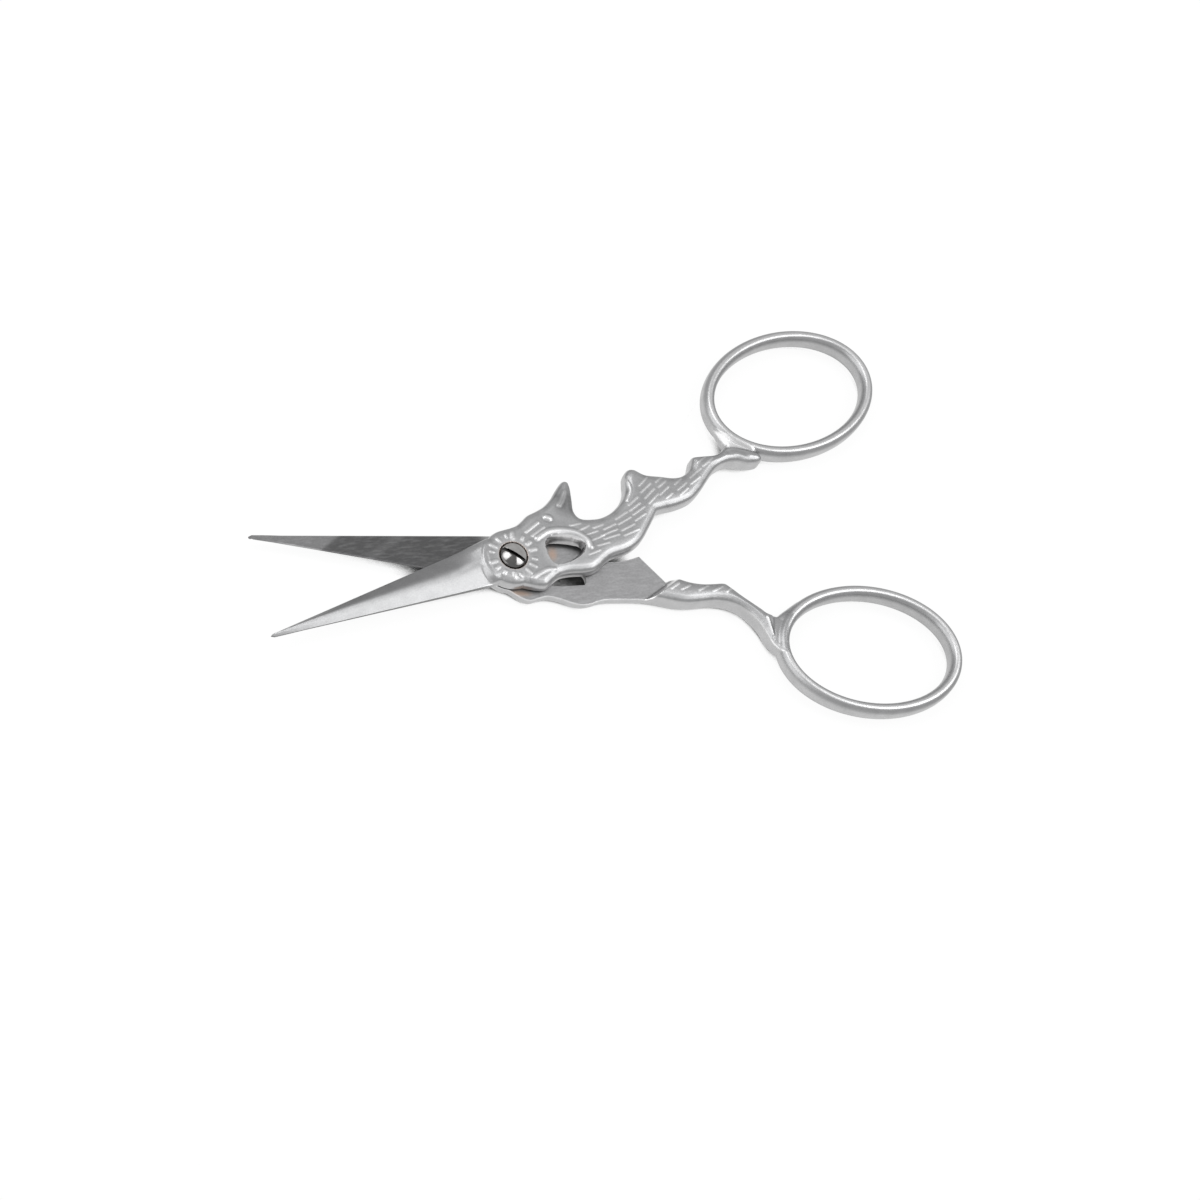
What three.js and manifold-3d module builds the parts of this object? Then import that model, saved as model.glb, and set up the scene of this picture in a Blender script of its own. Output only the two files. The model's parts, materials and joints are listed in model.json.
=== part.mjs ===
// Embroidery scissors: two forged halves that cross at one slotted pivot screw.
// Millimetres and degrees. X runs from the blades to the finger rings, Z is up.
// Each half is drawn as it lies when the scissors are closed, pivot at the origin,
// with Z = 0 midway between the two inner faces, and is then turned to its resting angle.

import * as THREE from 'three';
import { mergeVertices } from 'three/addons/utils/BufferGeometryUtils.js';
import Module from 'manifold-3d';

// Pose and fits
const REST_OPENING = 23.75; // angle between the halves as the scissors lie half open
const FACE_GAP = 0.3; // between the two inner faces
const STEP_CLEARANCE = 0.3; // between a half's step and the edge that closes against it
const RING_CLEARANCE = 0.14; // between the two rings when closed
const PIVOT_CLEARANCE = 0.08; // round the screw in the front half, and under its head
const THREAD_CLEARANCE = 0.05; // round the screw in the rear half

// Forged body
const OUTER_DEPTH = 2.05; // from a half's inner face to its outer face
const INNER_DEPTH = 1.5; // how far a shank rises past the middle plane
const EDGE_INSET = 0.5; // how far the rounded outer edge draws in
const EDGE_HEIGHT = 1.0; // height of that rounded edge
const COLLAR_RADIUS = 4.2; // round boss at the pivot

// Blades
const BLADE_LENGTH = 35.6; // pivot to tip
const BLADE_ROOT_X = -4; // where the blade leaves the collar
const BLADE_ROOT_WIDTH = 6.3;
const BLADE_ROOT_Y = 0.5; // middle of the blade at its root
const BLADE_ROOT_RIDGE = 1.75; // height of the outer ridge at the root
const BLADE_SPINE = 0.9; // height of the back edge at the root
const BLADE_EDGE = 0.12; // thickness left at the cutting edge
const BLADE_HEEL_X = -7.5; // from here the blade thickens towards the collar
const BLADE_HEEL = 1.05; // thickness of both its edges inside the collar
const TIP_WIDTH = 0.4;
const TIP_Y = 1.0;
const TIP_RIDGE = 0.55;

// Finger rings
const HANDLE_LENGTH = 38.27; // pivot to the near end of the ring's middle line, along X
const RING_LENGTH = 25.66; // long axis of the ring's middle line
const RING_WIDTH = 17.76; // short axis of the ring's middle line
const RING_BAR_WIDTH = 1.84; // bar section, in plan
const RING_BAR_HEIGHT = 3.16; // bar section, upright

// Pivot screw
const SCREW_DIAMETER = 2.4;
const HEAD_DIAMETER = 3.6;
const HEAD_RIM = 0.8; // height of the head's straight rim
const HEAD_DOME = 0.35; // rise of the dome above the rim
const SEAT_MARGIN = 0.15; // counterbore beyond the head, all round
const SLOT_WIDTH = 0.6;
const SLOT_DEPTH = 0.45;
const SLOT_ANGLE = -41; // slot direction as the scissors lie
const SCREW_END_RECESS = 0.1; // screw end inside the rear half's outer face

// Facets
const OUTLINE_STEPS = 2; // straight steps between two outline points
const EDGE_STEPS = 2;
const COLLAR_STEPS = 16;
const RING_STEPS = 56;
const RING_SECTION_STEPS = 12;
const BORE_STEPS = 48;
const DOME_STEPS = 8;
const WELD_DISTANCE = 1e-5; // points closer than this are one point

// Levels derived from the sizes above
const INNER_LEVEL = FACE_GAP / 2;
const OUTER_LEVEL = INNER_LEVEL + OUTER_DEPTH;
const RING_REACH = HANDLE_LENGTH + RING_LENGTH / 2;
const RING_SIDE = (RING_WIDTH + RING_BAR_WIDTH + RING_CLEARANCE) / 2;
const SEAT_LEVEL = OUTER_LEVEL - HEAD_RIM;
const BEYOND = BLADE_LENGTH + RING_REACH + RING_LENGTH; // longer than any cut needs

// Outlines in plan, from the collar towards the ring unless a comment says otherwise

// Edge of the front half that closes against the rear half's step, and the other way round
const BELLY_LINE = [[19.6, -3.2], [22.9, -0.6]];
const PLATE_LINE = [[18.6, 2.35], [22.2, -1.3]];

// Throat, chest and belly, shared by both halves, from the belly back to the collar
const CHEST = [
  [13.6, -4.6], [12.4, -4.9], [11.2, -5.4], [9.9, -5.65], [8.4, -5.4], [6.8, -4.95],
  [5.2, -4.75], [3.9, -5.1], [2.6, -5.55], [1.4, -5.2], [0.4, -4.6],
];
const HEAD_AND_EAR = [
  [2.2, 4.25], [4.0, 4.65], [6.4, 5.15], [7.8, 5.5], [9.4, 6.3], [10.6, 7.2], [11.85, 7.95],
  [12.6, 7.7], [12.6, 6.75], [12.0, 4.95], [11.45, 3.3], [11.9, 2.05],
];
const BACK_AND_RUMP = [
  [13.8, 1.35], [15.2, 1.25], [16.75, 1.6], [18.2, 2.5], [19.25, 3.6], [19.85, 4.9], [20.5, 5.9],
  [21.6, 6.5], [22.7, 6.3], [23.9, 5.05],
];
const FRONT_BELLY = [[18.4, -3.95], [17.0, -4.45], [15.4, -4.65]];
const REAR_BACK = [
  [2.2, 4.2], [4.2, 4.5], [6.5, 4.65], [9.0, 4.1], [11.0, 2.7], [12.8, 1.5], [14.6, 1.2], [16.6, 1.6],
];
const REAR_BELLY = [16.0, -4.4];

// Ends of the shanks, from the near end of the ring's middle line
const FRONT_SHANK_END = [-1.52, -5.07];
const PAW = [
  [3.43, -7.87], [3.23, -8.37], [2.63, -8.57], [1.53, -8.37], [0.53, -8.02], [-0.47, -7.42],
  [-1.67, -7.12], [-2.97, -7.15],
];
const REAR_SHANK_END = [[-2.07, 4.57], [-0.65, 4.07]];
const REAR_SHANK_HEEL = [[-0.97, -1.03], [-1.77, -0.03], [-2.37, 1.07], [-2.97, 2.27], [-3.82, 3.37]];

// Shanks between the animal and those ends: share of the way, and millimetres above the straight line
const FRONT_SHANK_TOP = [
  [0.153, -0.88], [0.283, -1.63], [0.392, -1.78], [0.48, -1.25], [0.54, -0.35], [0.605, 0.28],
  [0.731, 0.08], [0.888, -0.33],
];
const REAR_SHANK_TOP = [
  [0.058, 0.66], [0.13, 0.65], [0.222, 0.71], [0.336, 1.09], [0.439, 1.67], [0.535, 2.23], [0.604, 1.99],
  [0.74, 1.26], [0.928, 0.38],
];
// From the ring back to the belly
const FRONT_SHANK_BASE = [
  [0.114, -0.04], [0.28, -0.66], [0.412, -1.19], [0.571, -1.49], [0.749, -1.12], [0.897, -0.46],
];
const REAR_SHANK_BASE = [
  [0.068, 0.96], [0.148, 1.6], [0.236, 1.82], [0.338, 1.6], [0.437, 1.04], [0.543, 0.56], [0.651, 0.49],
  [0.76, 0.56], [0.867, 0.43],
];

// Window below the animal's neck, through both halves, at its narrowest
const WINDOW = [
  [5.0, -2.4], [5.6, -2.95], [7.0, -3.05], [8.4, -2.85], [9.6, -2.5], [10.15, -2.0], [9.9, -1.4],
  [9.2, -0.95], [8.2, -0.4], [6.9, 0.15], [6.0, 0.35], [5.35, -0.1], [5.0, -1.3],
];
// Where the collar's round meets the outlines, as angles round the pivot
const COLLAR_TOP_ANGLE = 84;
const COLLAR_BASE_ANGLE = 266;
// Where the shanks spread onto the rings: angles round each ring, and millimetres outside its middle line
const FRONT_WEB = [[202.5, 1.85], [195.5, 1.4], [187, 1.0]];
const REAR_WEB = [[153, 1.4], [147.5, 1.15], [138, 1.0]];
// Where they end under the rings, as angles round each ring
const FRONT_RING_ANGLES = [190, 205, 218];
const REAR_RING_ANGLES = [142, 160, 180, 196];

const wasm = await Module();
wasm.setup();

const radians = THREE.MathUtils.degToRad;
const vectors = (points) => points.map(([x, y]) => new THREE.Vector2(x, y));

function solidOf(geometry) {
  const bare = geometry.clone();
  bare.deleteAttribute('normal');
  bare.deleteAttribute('uv');
  const merged = mergeVertices(bare, WELD_DISTANCE);
  return new wasm.Manifold(new wasm.Mesh({
    numProp: 3,
    vertProperties: new Float32Array(merged.attributes.position.array),
    triVerts: new Uint32Array(merged.index.array),
  }));
}

function geometryOf(solid) {
  const mesh = solid.getMesh();
  const geometry = new THREE.BufferGeometry();
  geometry.setAttribute('position', new THREE.BufferAttribute(mesh.vertProperties, 3));
  geometry.setIndex(new THREE.BufferAttribute(mesh.triVerts, 1));
  geometry.computeVertexNormals();
  return geometry;
}

// A bar of the given outline whose edges are rounded at both faces
function forgedBar(shape, low, high) {
  const geometry = new THREE.ExtrudeGeometry(shape, {
    depth: high - low - 2 * EDGE_HEIGHT,
    curveSegments: OUTLINE_STEPS,
    bevelThickness: EDGE_HEIGHT,
    bevelSize: EDGE_INSET,
    bevelOffset: -EDGE_INSET,
    bevelSegments: EDGE_STEPS,
  });
  geometry.translate(0, 0, low + EDGE_HEIGHT);
  return solidOf(geometry);
}

// Everything on the pivot's side of a line, between two levels
function stepCut([start, end], low, high) {
  const along = new THREE.Vector2(end[0] - start[0], end[1] - start[1]).normalize();
  const away = new THREE.Vector2(along.y, -along.x);
  if (away.dot(new THREE.Vector2(...start)) < 0) {
    away.negate();
  }
  const geometry = new THREE.BoxGeometry(BEYOND, 2 * BEYOND, high - low);
  geometry.translate(STEP_CLEARANCE - BEYOND / 2, 0, 0);
  geometry.rotateZ(away.angle());
  geometry.translate(start[0], start[1], (low + high) / 2);
  return solidOf(geometry);
}

// A place on a finger ring's oval middle line, or a distance outside it;
// side is +1 for the front half's ring, -1 for the rear half's
function ringPoint(side, angle, beyond = 0) {
  const [cos, sin] = [Math.cos(radians(angle)), Math.sin(radians(angle))];
  const outward = new THREE.Vector2(RING_WIDTH * cos, RING_LENGTH * sin).normalize();
  const middle = new THREE.Vector2(RING_LENGTH / 2 * cos, side * RING_SIDE + RING_WIDTH / 2 * sin);
  return new THREE.Vector2(RING_REACH, 0).add(middle).addScaledVector(outward, beyond);
}

// One finger ring: a torus of any size, reshaped into an oval bar bent round the oval
function fingerRing(side) {
  const geometry = new THREE.TorusGeometry(RING_WIDTH, RING_BAR_WIDTH, RING_SECTION_STEPS, RING_STEPS);
  const { position, uv } = geometry.attributes;
  for (let i = 0; i < position.count; i += 1) {
    const section = 2 * Math.PI * uv.getY(i);
    const place = ringPoint(side, 360 * uv.getX(i), RING_BAR_WIDTH / 2 * Math.cos(section));
    position.setXYZ(i, place.x, place.y, RING_BAR_HEIGHT / 2 * Math.sin(section));
  }
  return solidOf(geometry);
}

// A blade: flat inner face, thin cutting edge, long outer ridge and an upright back edge.
// edge is +1 where the cutting edge is on the +Y side; face is +1 where the outer face is up.
function blade(edge, face) {
  const slope = (name) => (name.tip - name.root) / (-BLADE_LENGTH - BLADE_ROOT_X);
  const along = (name, x) => name.root + slope(name) * (x - BLADE_ROOT_X);
  const width = { root: BLADE_ROOT_WIDTH, tip: TIP_WIDTH };
  const middle = { root: BLADE_ROOT_Y, tip: TIP_Y };
  const ridge = { root: BLADE_ROOT_RIDGE, tip: TIP_RIDGE };
  const spine = { root: BLADE_SPINE, tip: TIP_RIDGE * BLADE_SPINE / BLADE_ROOT_RIDGE };
  const section = (x, edgeHeight, ridgeHeight, spineHeight) => {
    const centre = along(middle, x);
    const half = along(width, x) / 2;
    const outline = [[half, 0], [half, edgeHeight], [0, ridgeHeight], [-half, spineHeight], [-half, 0]];
    return outline.map(([y, z]) => [x, centre + edge * y, face * (INNER_LEVEL + z)]);
  };
  const ground = (x) => section(x, BLADE_EDGE, along(ridge, x), along(spine, x));
  const rings = [
    section(0, BLADE_HEEL, OUTER_DEPTH, BLADE_HEEL),
    ground(BLADE_HEEL_X),
    ground(-BLADE_LENGTH),
  ];
  const count = rings[0].length;
  const triangles = [];
  for (let r = 0; r + 1 < rings.length; r += 1) {
    for (let i = 0; i < count; i += 1) {
      const j = (i + 1) % count;
      const a = r * count;
      triangles.push([a + i, a + j, a + count + j], [a + i, a + count + j, a + count + i]);
    }
  }
  const last = (rings.length - 1) * count;
  for (let i = 1; i + 1 < count; i += 1) {
    triangles.push([0, i + 1, i], [last, last + i, last + i + 1]);
  }
  const flip = edge * face > 0;
  const geometry = new THREE.BufferGeometry();
  geometry.setAttribute('position', new THREE.Float32BufferAttribute(rings.flat(2), 3));
  geometry.setIndex(triangles.flatMap(([a, b, c]) => (flip ? [a, c, b] : [a, b, c])));
  return solidOf(geometry);
}

function cylinder(diameter, low, high) {
  const geometry = new THREE.CylinderGeometry(diameter / 2, diameter / 2, high - low, BORE_STEPS);
  geometry.rotateX(Math.PI / 2);
  geometry.translate(0, 0, (low + high) / 2);
  return solidOf(geometry);
}

// A smooth line through the points, with a few straight steps from each to the next
function smooth(points) {
  return new THREE.SplineCurve(points).getPoints(OUTLINE_STEPS * (points.length - 1));
}

// Places given from the near end of a ring's middle line
function fromRing(side, points) {
  return points.map(([x, y]) => [HANDLE_LENGTH + x, side * RING_SIDE + y]);
}

// A shank's end: out along the ring as a web, then back under the ring's bar
function ringEnd(side, web, angles) {
  const out = web.map(([angle, beyond]) => ringPoint(side, angle, beyond));
  return [...out, ...angles.map((angle) => ringPoint(side, angle, -RING_BAR_WIDTH / 4))];
}

// Places along a straight line from start to end, each so far above it
function alongShank(start, end, points) {
  const from = new THREE.Vector2(...start);
  const way = new THREE.Vector2(...end).sub(from);
  const up = new THREE.Vector2(-way.y, way.x).normalize();
  up.multiplyScalar(Math.sign(up.y));
  return points.map(([share, above]) => {
    return from.clone().addScaledVector(way, share).addScaledVector(up, above).toArray();
  });
}

function collarPoints() {
  const step = (COLLAR_BASE_ANGLE - COLLAR_TOP_ANGLE) / COLLAR_STEPS;
  return Array.from({ length: COLLAR_STEPS + 1 }, (_, i) => {
    const turn = radians(COLLAR_BASE_ANGLE - i * step);
    return new THREE.Vector2(COLLAR_RADIUS * Math.cos(turn), COLLAR_RADIUS * Math.sin(turn));
  });
}

function windowPath() {
  const points = vectors(WINDOW);
  const closed = smooth([points.at(-1), ...points, points[0], points[1]]);
  return new THREE.Path(closed.slice(OUTLINE_STEPS, -OUTLINE_STEPS - 1));
}

// A half's outline: round the collar, along its top to the ring, then back along its base
function halfOutline(top, ring, base) {
  const shape = new THREE.Shape([...collarPoints(), ...top, ...ring, ...base]);
  shape.holes.push(windowPath());
  return shape;
}

function frontHalf() {
  const animal = [...HEAD_AND_EAR, ...BACK_AND_RUMP];
  const [shankEnd] = fromRing(1, [FRONT_SHANK_END]);
  const paw = fromRing(1, PAW);
  const shankTop = alongShank(animal.at(-1), shankEnd, FRONT_SHANK_TOP);
  const shankBase = alongShank(paw.at(-1), BELLY_LINE[1], FRONT_SHANK_BASE);
  const top = smooth(vectors([...animal, ...shankTop, shankEnd]));
  const ring = ringEnd(1, FRONT_WEB, FRONT_RING_ANGLES);
  const base = smooth(vectors([...paw, ...shankBase, BELLY_LINE[1]]));
  const belly = smooth(vectors([BELLY_LINE[0], ...FRONT_BELLY, ...CHEST]));
  const bore = SCREW_DIAMETER + 2 * PIVOT_CLEARANCE;
  const seat = HEAD_DIAMETER + 2 * SEAT_MARGIN;
  return forgedBar(halfOutline(top, ring, [...base, ...belly]), -INNER_DEPTH, OUTER_LEVEL)
    .subtract(stepCut(PLATE_LINE, -BEYOND, INNER_LEVEL))
    .add(fingerRing(1))
    .add(blade(1, 1))
    .subtract(cylinder(bore, -BEYOND, BEYOND))
    .subtract(cylinder(seat, SEAT_LEVEL, BEYOND));
}

function rearHalf() {
  const shankEnd = fromRing(-1, REAR_SHANK_END);
  const heel = fromRing(-1, REAR_SHANK_HEEL);
  const shankTop = alongShank(PLATE_LINE[1], shankEnd[0], REAR_SHANK_TOP);
  const shankBase = alongShank(heel.at(-1), REAR_BELLY, REAR_SHANK_BASE);
  const plate = smooth(vectors([...REAR_BACK, PLATE_LINE[0]]));
  const shank = smooth(vectors([PLATE_LINE[1], ...shankTop, ...shankEnd]));
  const ring = ringEnd(-1, REAR_WEB, REAR_RING_ANGLES);
  const base = smooth(vectors([...heel, ...shankBase, REAR_BELLY, ...CHEST]));
  const bore = SCREW_DIAMETER + 2 * THREAD_CLEARANCE;
  return forgedBar(halfOutline([...plate, ...shank], ring, base), -OUTER_LEVEL, INNER_DEPTH)
    .subtract(stepCut(BELLY_LINE, -INNER_LEVEL, BEYOND))
    .add(fingerRing(-1))
    .add(blade(-1, -1))
    .subtract(cylinder(bore, -BEYOND, BEYOND));
}

// Domed head with a screwdriver slot, on a plain shank
function pivotScrew() {
  const head = HEAD_DIAMETER / 2;
  const under = SEAT_LEVEL + PIVOT_CLEARANCE;
  const rim = under + HEAD_RIM;
  const dome = new THREE.EllipseCurve(0, rim, head, HEAD_DOME, 0, Math.PI / 2).getPoints(DOME_STEPS);
  const profile = vectors([
    [0, -OUTER_LEVEL + SCREW_END_RECESS],
    [SCREW_DIAMETER / 2, -OUTER_LEVEL + SCREW_END_RECESS],
    [SCREW_DIAMETER / 2, under],
    [head, under],
  ]).concat(dome.slice(0, -1), new THREE.Vector2(0, rim + HEAD_DOME));
  const geometry = new THREE.LatheGeometry(profile, BORE_STEPS);
  geometry.rotateX(Math.PI / 2);
  const slot = new THREE.BoxGeometry(2 * HEAD_DIAMETER, SLOT_WIDTH, 2 * SLOT_DEPTH);
  slot.rotateZ(radians(SLOT_ANGLE));
  slot.translate(0, 0, rim + HEAD_DOME);
  return solidOf(geometry).subtract(solidOf(slot));
}

const steel = { metalness: 1, roughness: 0.42 };
const frontSteel = new THREE.MeshStandardMaterial({ color: 0xa9aaad, ...steel });
const rearSteel = new THREE.MeshStandardMaterial({ color: 0x9c9da0, ...steel });
const screwChrome = new THREE.MeshStandardMaterial({ color: 0xd4d5d6, metalness: 1, roughness: 0.12 });

function named(name, solid, material) {
  const mesh = new THREE.Mesh(geometryOf(solid), material);
  mesh.name = name;
  return mesh;
}

const front = new THREE.Group();
front.rotation.z = radians(REST_OPENING / 2);
front.add(named('front_half', frontHalf(), frontSteel));

const rear = new THREE.Group();
rear.rotation.z = -radians(REST_OPENING / 2);
rear.add(named('rear_half', rearHalf(), rearSteel));

const screw = named('pivot_screw', pivotScrew(), screwChrome);

// The origin is under the middle of the scissors as they lie on a table
const scissors = new THREE.Group();
scissors.add(front, rear, screw);
const box = new THREE.Box3().setFromObject(scissors, true);
const middle = box.getCenter(new THREE.Vector3());
scissors.position.set(-middle.x, -middle.y, -box.min.z);

const part = new THREE.Group();
part.add(scissors);

export default part;
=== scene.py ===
"""Looks of a pair of embroidery scissors with an animal-shaped handle.

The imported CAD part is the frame. Each half and the screw is one dense steel mesh, drawn in
millimetres as it lies when the scissors are closed, with the pivot at the origin and Z = 0 midway
between the two inner faces, and then turned to its resting angle on the joint's own axis.
"""

import json
import logging
import math
from dataclasses import dataclass, field
from enum import Enum

import bpy
import numpy as np
from mathutils import Matrix, Vector
from mathutils.geometry import delaunay_2d_cdt


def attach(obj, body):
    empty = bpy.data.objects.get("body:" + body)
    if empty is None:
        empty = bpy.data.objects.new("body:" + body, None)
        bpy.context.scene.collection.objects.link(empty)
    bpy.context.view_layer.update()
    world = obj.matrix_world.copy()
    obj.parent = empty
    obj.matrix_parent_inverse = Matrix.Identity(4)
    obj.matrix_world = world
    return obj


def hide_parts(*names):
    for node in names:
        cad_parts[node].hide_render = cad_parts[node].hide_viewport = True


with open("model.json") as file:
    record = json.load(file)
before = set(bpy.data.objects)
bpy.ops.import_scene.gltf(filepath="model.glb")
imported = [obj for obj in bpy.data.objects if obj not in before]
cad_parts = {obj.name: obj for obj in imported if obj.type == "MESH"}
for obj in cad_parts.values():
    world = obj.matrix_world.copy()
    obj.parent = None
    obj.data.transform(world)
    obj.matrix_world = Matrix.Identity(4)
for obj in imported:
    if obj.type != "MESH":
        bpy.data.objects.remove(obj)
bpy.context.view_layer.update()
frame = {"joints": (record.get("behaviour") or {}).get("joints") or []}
LOG = logging.getLogger("scissors")
Feed = bpy.types.NodeSocket | float | tuple[float, ...]
Pair = tuple[float, float]
Pairs = list[Pair]
Triple = tuple[float, float, float]

# Pose and levels, in millimetres and degrees
MILLIMETRE = 0.001
REST_TURN = 23.75 / 2
INNER_LEVEL = 0.15
OUTER_LEVEL = 2.2
SHANK_LEVEL = 1.5
SHANK_START_X = 20.0
SHANK_FULL_X = 36.0
EDGE_INSET = 0.5
EDGE_HEIGHT = 0.68
BEVEL_SLOPE = 0.3
BEVEL_REACH = 0.95
BEVEL_SOFT = 0.06
CROWN = 0.1
CROWN_REACH = 1.8
FACE_DROP = 0.14
FACE_LEVEL = OUTER_LEVEL - FACE_DROP
STEP_CLEARANCE = 0.3
STEP_RAMP = 0.9
WEB_LEVEL = 1.6
WEB_FALL = 0.2
WEB_SLOPE = 0.28
WEB_FILLET = 0.22
FIGURE_FILLET = 0.06
INNER_CHAMFER = 0.1
CHAMFER_FADE_X = (-34.0, -31.0)
FIGURE_WALL_SLOPE = 5.0
RING_COVER = 0.04

# Bore and counterbore at the pivot, and the window
BORE_RADIUS = 1.27
SEAT_RADIUS = 1.95
SEAT_DEPTH = 0.8
SEAT_LEVEL = OUTER_LEVEL - SEAT_DEPTH
SEAT_CHAMFER = 0.1
WINDOW_FOOT = 0.5
WINDOW_RELIEF = WINDOW_FOOT - 0.05
WINDOW_RELIEF_REACH = 0.9

# Hairs, and petals round the pivot with how uneven they are
HAIR_WIDTH = 0.36
HAIR_HEIGHT = 0.032
PETAL_WIDTH = 0.66
PETAL_HEIGHT = 0.05
PETAL_POLISH = 0.16
WOBBLE_STEP = 2.4
WOBBLE_START = 0.7
WOBBLE_TURN = 3.0
WOBBLE_INWARD = 0.1
WOBBLE_OUTWARD = 0.12
WOBBLE_WIDTH = 0.12

# Mesh spacing
OUTLINE_STEP = 0.16
BODY_STEP = 0.14
BLADE_STEP = 0.28
SEAT_STEP = 0.06
BORE_STEP = 0.12
BODY_START_X = -5.0
GRID_MARGIN = 1.15
TOE_OFFSETS = (-0.1, 0.0, 0.1)
WINDOW_ROW_PLACES = 90
WINDOW_ROWS = (0.2, 0.4, 0.6, 0.8, 1.0, 1.15)
CURVE_STEPS = 12
CHUNK_PAIRS = 2_000_000
WELD_DISTANCE = 1e-6
DOUBLE_POINT = 1e-4
INWARD_KEPT = 0.97
TINY = 1e-12
NO_GAP = 1e-9
BORE_ROWS = (0.1, 0.2)
SEAT_ROWS = (-0.02, 0.0, 0.07, SEAT_CHAMFER)
FIGURE_END_MARGIN = 1.0
OUTLINE_NEAR = 1e-3
GROUND_FLATNESS = 0.02
INSET_SHARES = (0.06, 0.16, 0.3, 0.46, 0.64, 0.84, 1.05)

# Paint: polish from 0 to 1 is how bright steel is, from rubbing and from painted highlights and
# reflections, and a tone below PLAIN_TONE is darker, in places as painted shade
PLAIN_TONE = 0.5
# Walls and steep edges painted paler, a painted reflection
WALL_PAINTED_SHEEN = 0.45
WALL_FADE_X = (-6.0, -3.0)
# Painted highlight on the web where a shank spreads onto its ring
WEB_PAINTED_HIGHLIGHT = 0.3
WEB_HIGHLIGHT_FADE = (0.0, -0.4)
# Painted light on the window's sloping wall
DRAFT_SHEEN = (1.0, 0.6)
STEEP_EDGE = (0.5 * EDGE_INSET, 0.2 * EDGE_INSET)
# Inner face's rim: edge wear with a painted highlight
RIM_WEAR_AND_HIGHLIGHT = 0.8
RIM_REACH = 0.18
RIM_FADE_X = (-34.0, -30.0)
# Painted highlight on the step's ramp
STEP_PAINTED_HIGHLIGHT = 3.2
WEAR_AND_SHEEN_LIMIT = 0.9
# Blade walls painted darker, a painted shade
BLADE_WALL_SHADE = 0.14
SEAT_STAIN = 0.7
SEAT_STAIN_REACH = 0.25
# Chased faces: paler raised parts, and a painted shade in their hollows
RUB_ROUNDS = (12, 60)
RUB_GAIN = 1.2
RUB_RANGE = (-0.12, 0.06)
RUB_START_X = (-5.0, -2.5)
RUB_EDGE = 1.2 * EDGE_INSET
RUB_WEB_FADE = (-0.25, 0.1)

# Outlines in plan, clockwise from the collar's top
HEAD_AND_EAR: Pairs = [
    (1.6, 4.1), (2.7, 4.15), (3.7, 4.5), (4.8, 4.97), (6.4, 5.18), (7.8, 5.5), (9.4, 6.3), (10.6, 7.2),
    (11.85, 7.95), (12.6, 7.7), (12.6, 6.75), (12.0, 4.95), (11.45, 3.3), (11.9, 2.05),
]
BACK_AND_RUMP: Pairs = [
    (13.8, 1.35), (15.2, 1.25), (16.75, 1.55), (18.45, 2.4), (19.65, 3.55), (20.3, 4.9), (20.85, 5.9),
    (21.75, 6.5), (22.7, 6.3), (23.9, 5.05),
]
FRONT_SHANK_TOP: Pairs = [
    (25.85, 4.13), (27.5, 3.35), (28.95, 3.12), (30.3, 3.6), (31.1, 4.5), (31.85, 5.2), (33.3, 4.95),
    (35.3, 4.5), (36.75, 4.8),
]
PAW_AND_SHANK: Pairs = [
    (41.7, 2.0), (41.5, 1.5), (40.9, 1.3), (39.8, 1.5), (38.8, 1.85), (37.8, 2.45), (36.6, 2.75),
    (35.3, 2.72), (33.9, 2.3), (32.0, 1.15), (30.5, 0.2), (28.6, -0.62), (26.3, -0.85), (24.3, -0.7),
    (22.9, -0.6),
]
FRONT_BELLY: Pairs = [(19.6, -3.2), (18.4, -3.95), (17.0, -4.45), (15.4, -4.65)]
CHEST: Pairs = [
    (13.6, -4.6), (12.4, -4.9), (11.2, -5.4), (9.9, -5.65), (8.4, -5.4), (6.8, -4.95),
    (5.2, -4.75), (3.9, -5.1), (2.6, -5.55), (1.4, -5.2), (0.4, -4.6),
]
REAR_BACK: Pairs = [
    (2.2, 4.2), (4.2, 4.5), (6.5, 4.65), (9.0, 4.1), (11.0, 2.7), (12.8, 1.5), (14.6, 1.2), (16.6, 1.6),
    (18.6, 2.35),
]
REAR_SHANK_TOP: Pairs = [
    (22.2, -1.3), (23.2, -0.9), (24.2, -1.2), (25.5, -1.5), (27.2, -1.6), (28.8, -1.45), (30.3, -1.3),
    (31.2, -1.8), (32.9, -3.05), (35.3, -4.65), (36.2, -5.3), (37.62, -5.8),
]
REAR_SHANK_BASE: Pairs = [
    (37.3, -10.9), (36.5, -9.9), (35.9, -8.8), (35.3, -7.6), (34.45, -6.5), (33.3, -5.4), (31.9, -4.6),
    (30.3, -4.2), (28.4, -4.2), (26.5, -4.55), (24.5, -4.8), (22.5, -4.65), (20.5, -4.35), (18.5, -4.25),
    (16.0, -4.4),
]
WINDOW: Pairs = [
    (5.0, -2.4), (5.6, -2.95), (7.0, -3.05), (8.4, -2.85), (9.6, -2.5), (10.15, -2.0), (9.9, -1.4),
    (9.2, -0.95), (8.2, -0.4), (6.9, 0.15), (6.0, 0.35), (5.35, -0.1), (5.0, -1.3),
]
WINDOW_MOUTH: Pairs = [
    (4.75, -2.55), (5.35, -3.25), (6.95, -3.5), (8.5, -3.3), (9.45, -3.0), (10.05, -2.5), (10.4, -1.9),
    (10.35, -1.0), (9.4, 0.1), (7.9, 0.75), (6.45, 0.95), (5.45, 0.65), (4.95, -0.1), (4.7, -1.4),
]
REAR_WINDOW: Pairs = [
    (5.0, -2.4), (5.6, -2.95), (7.0, -3.05), (8.4, -2.9), (9.6, -2.72), (10.45, -2.6), (10.68, -2.45),
    (10.72, -2.0), (10.7, -1.4), (10.4, -1.0), (9.4, -0.8), (8.2, -0.4), (6.9, 0.15), (6.0, 0.35),
    (5.35, -0.1), (5.0, -1.3),
]
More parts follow.
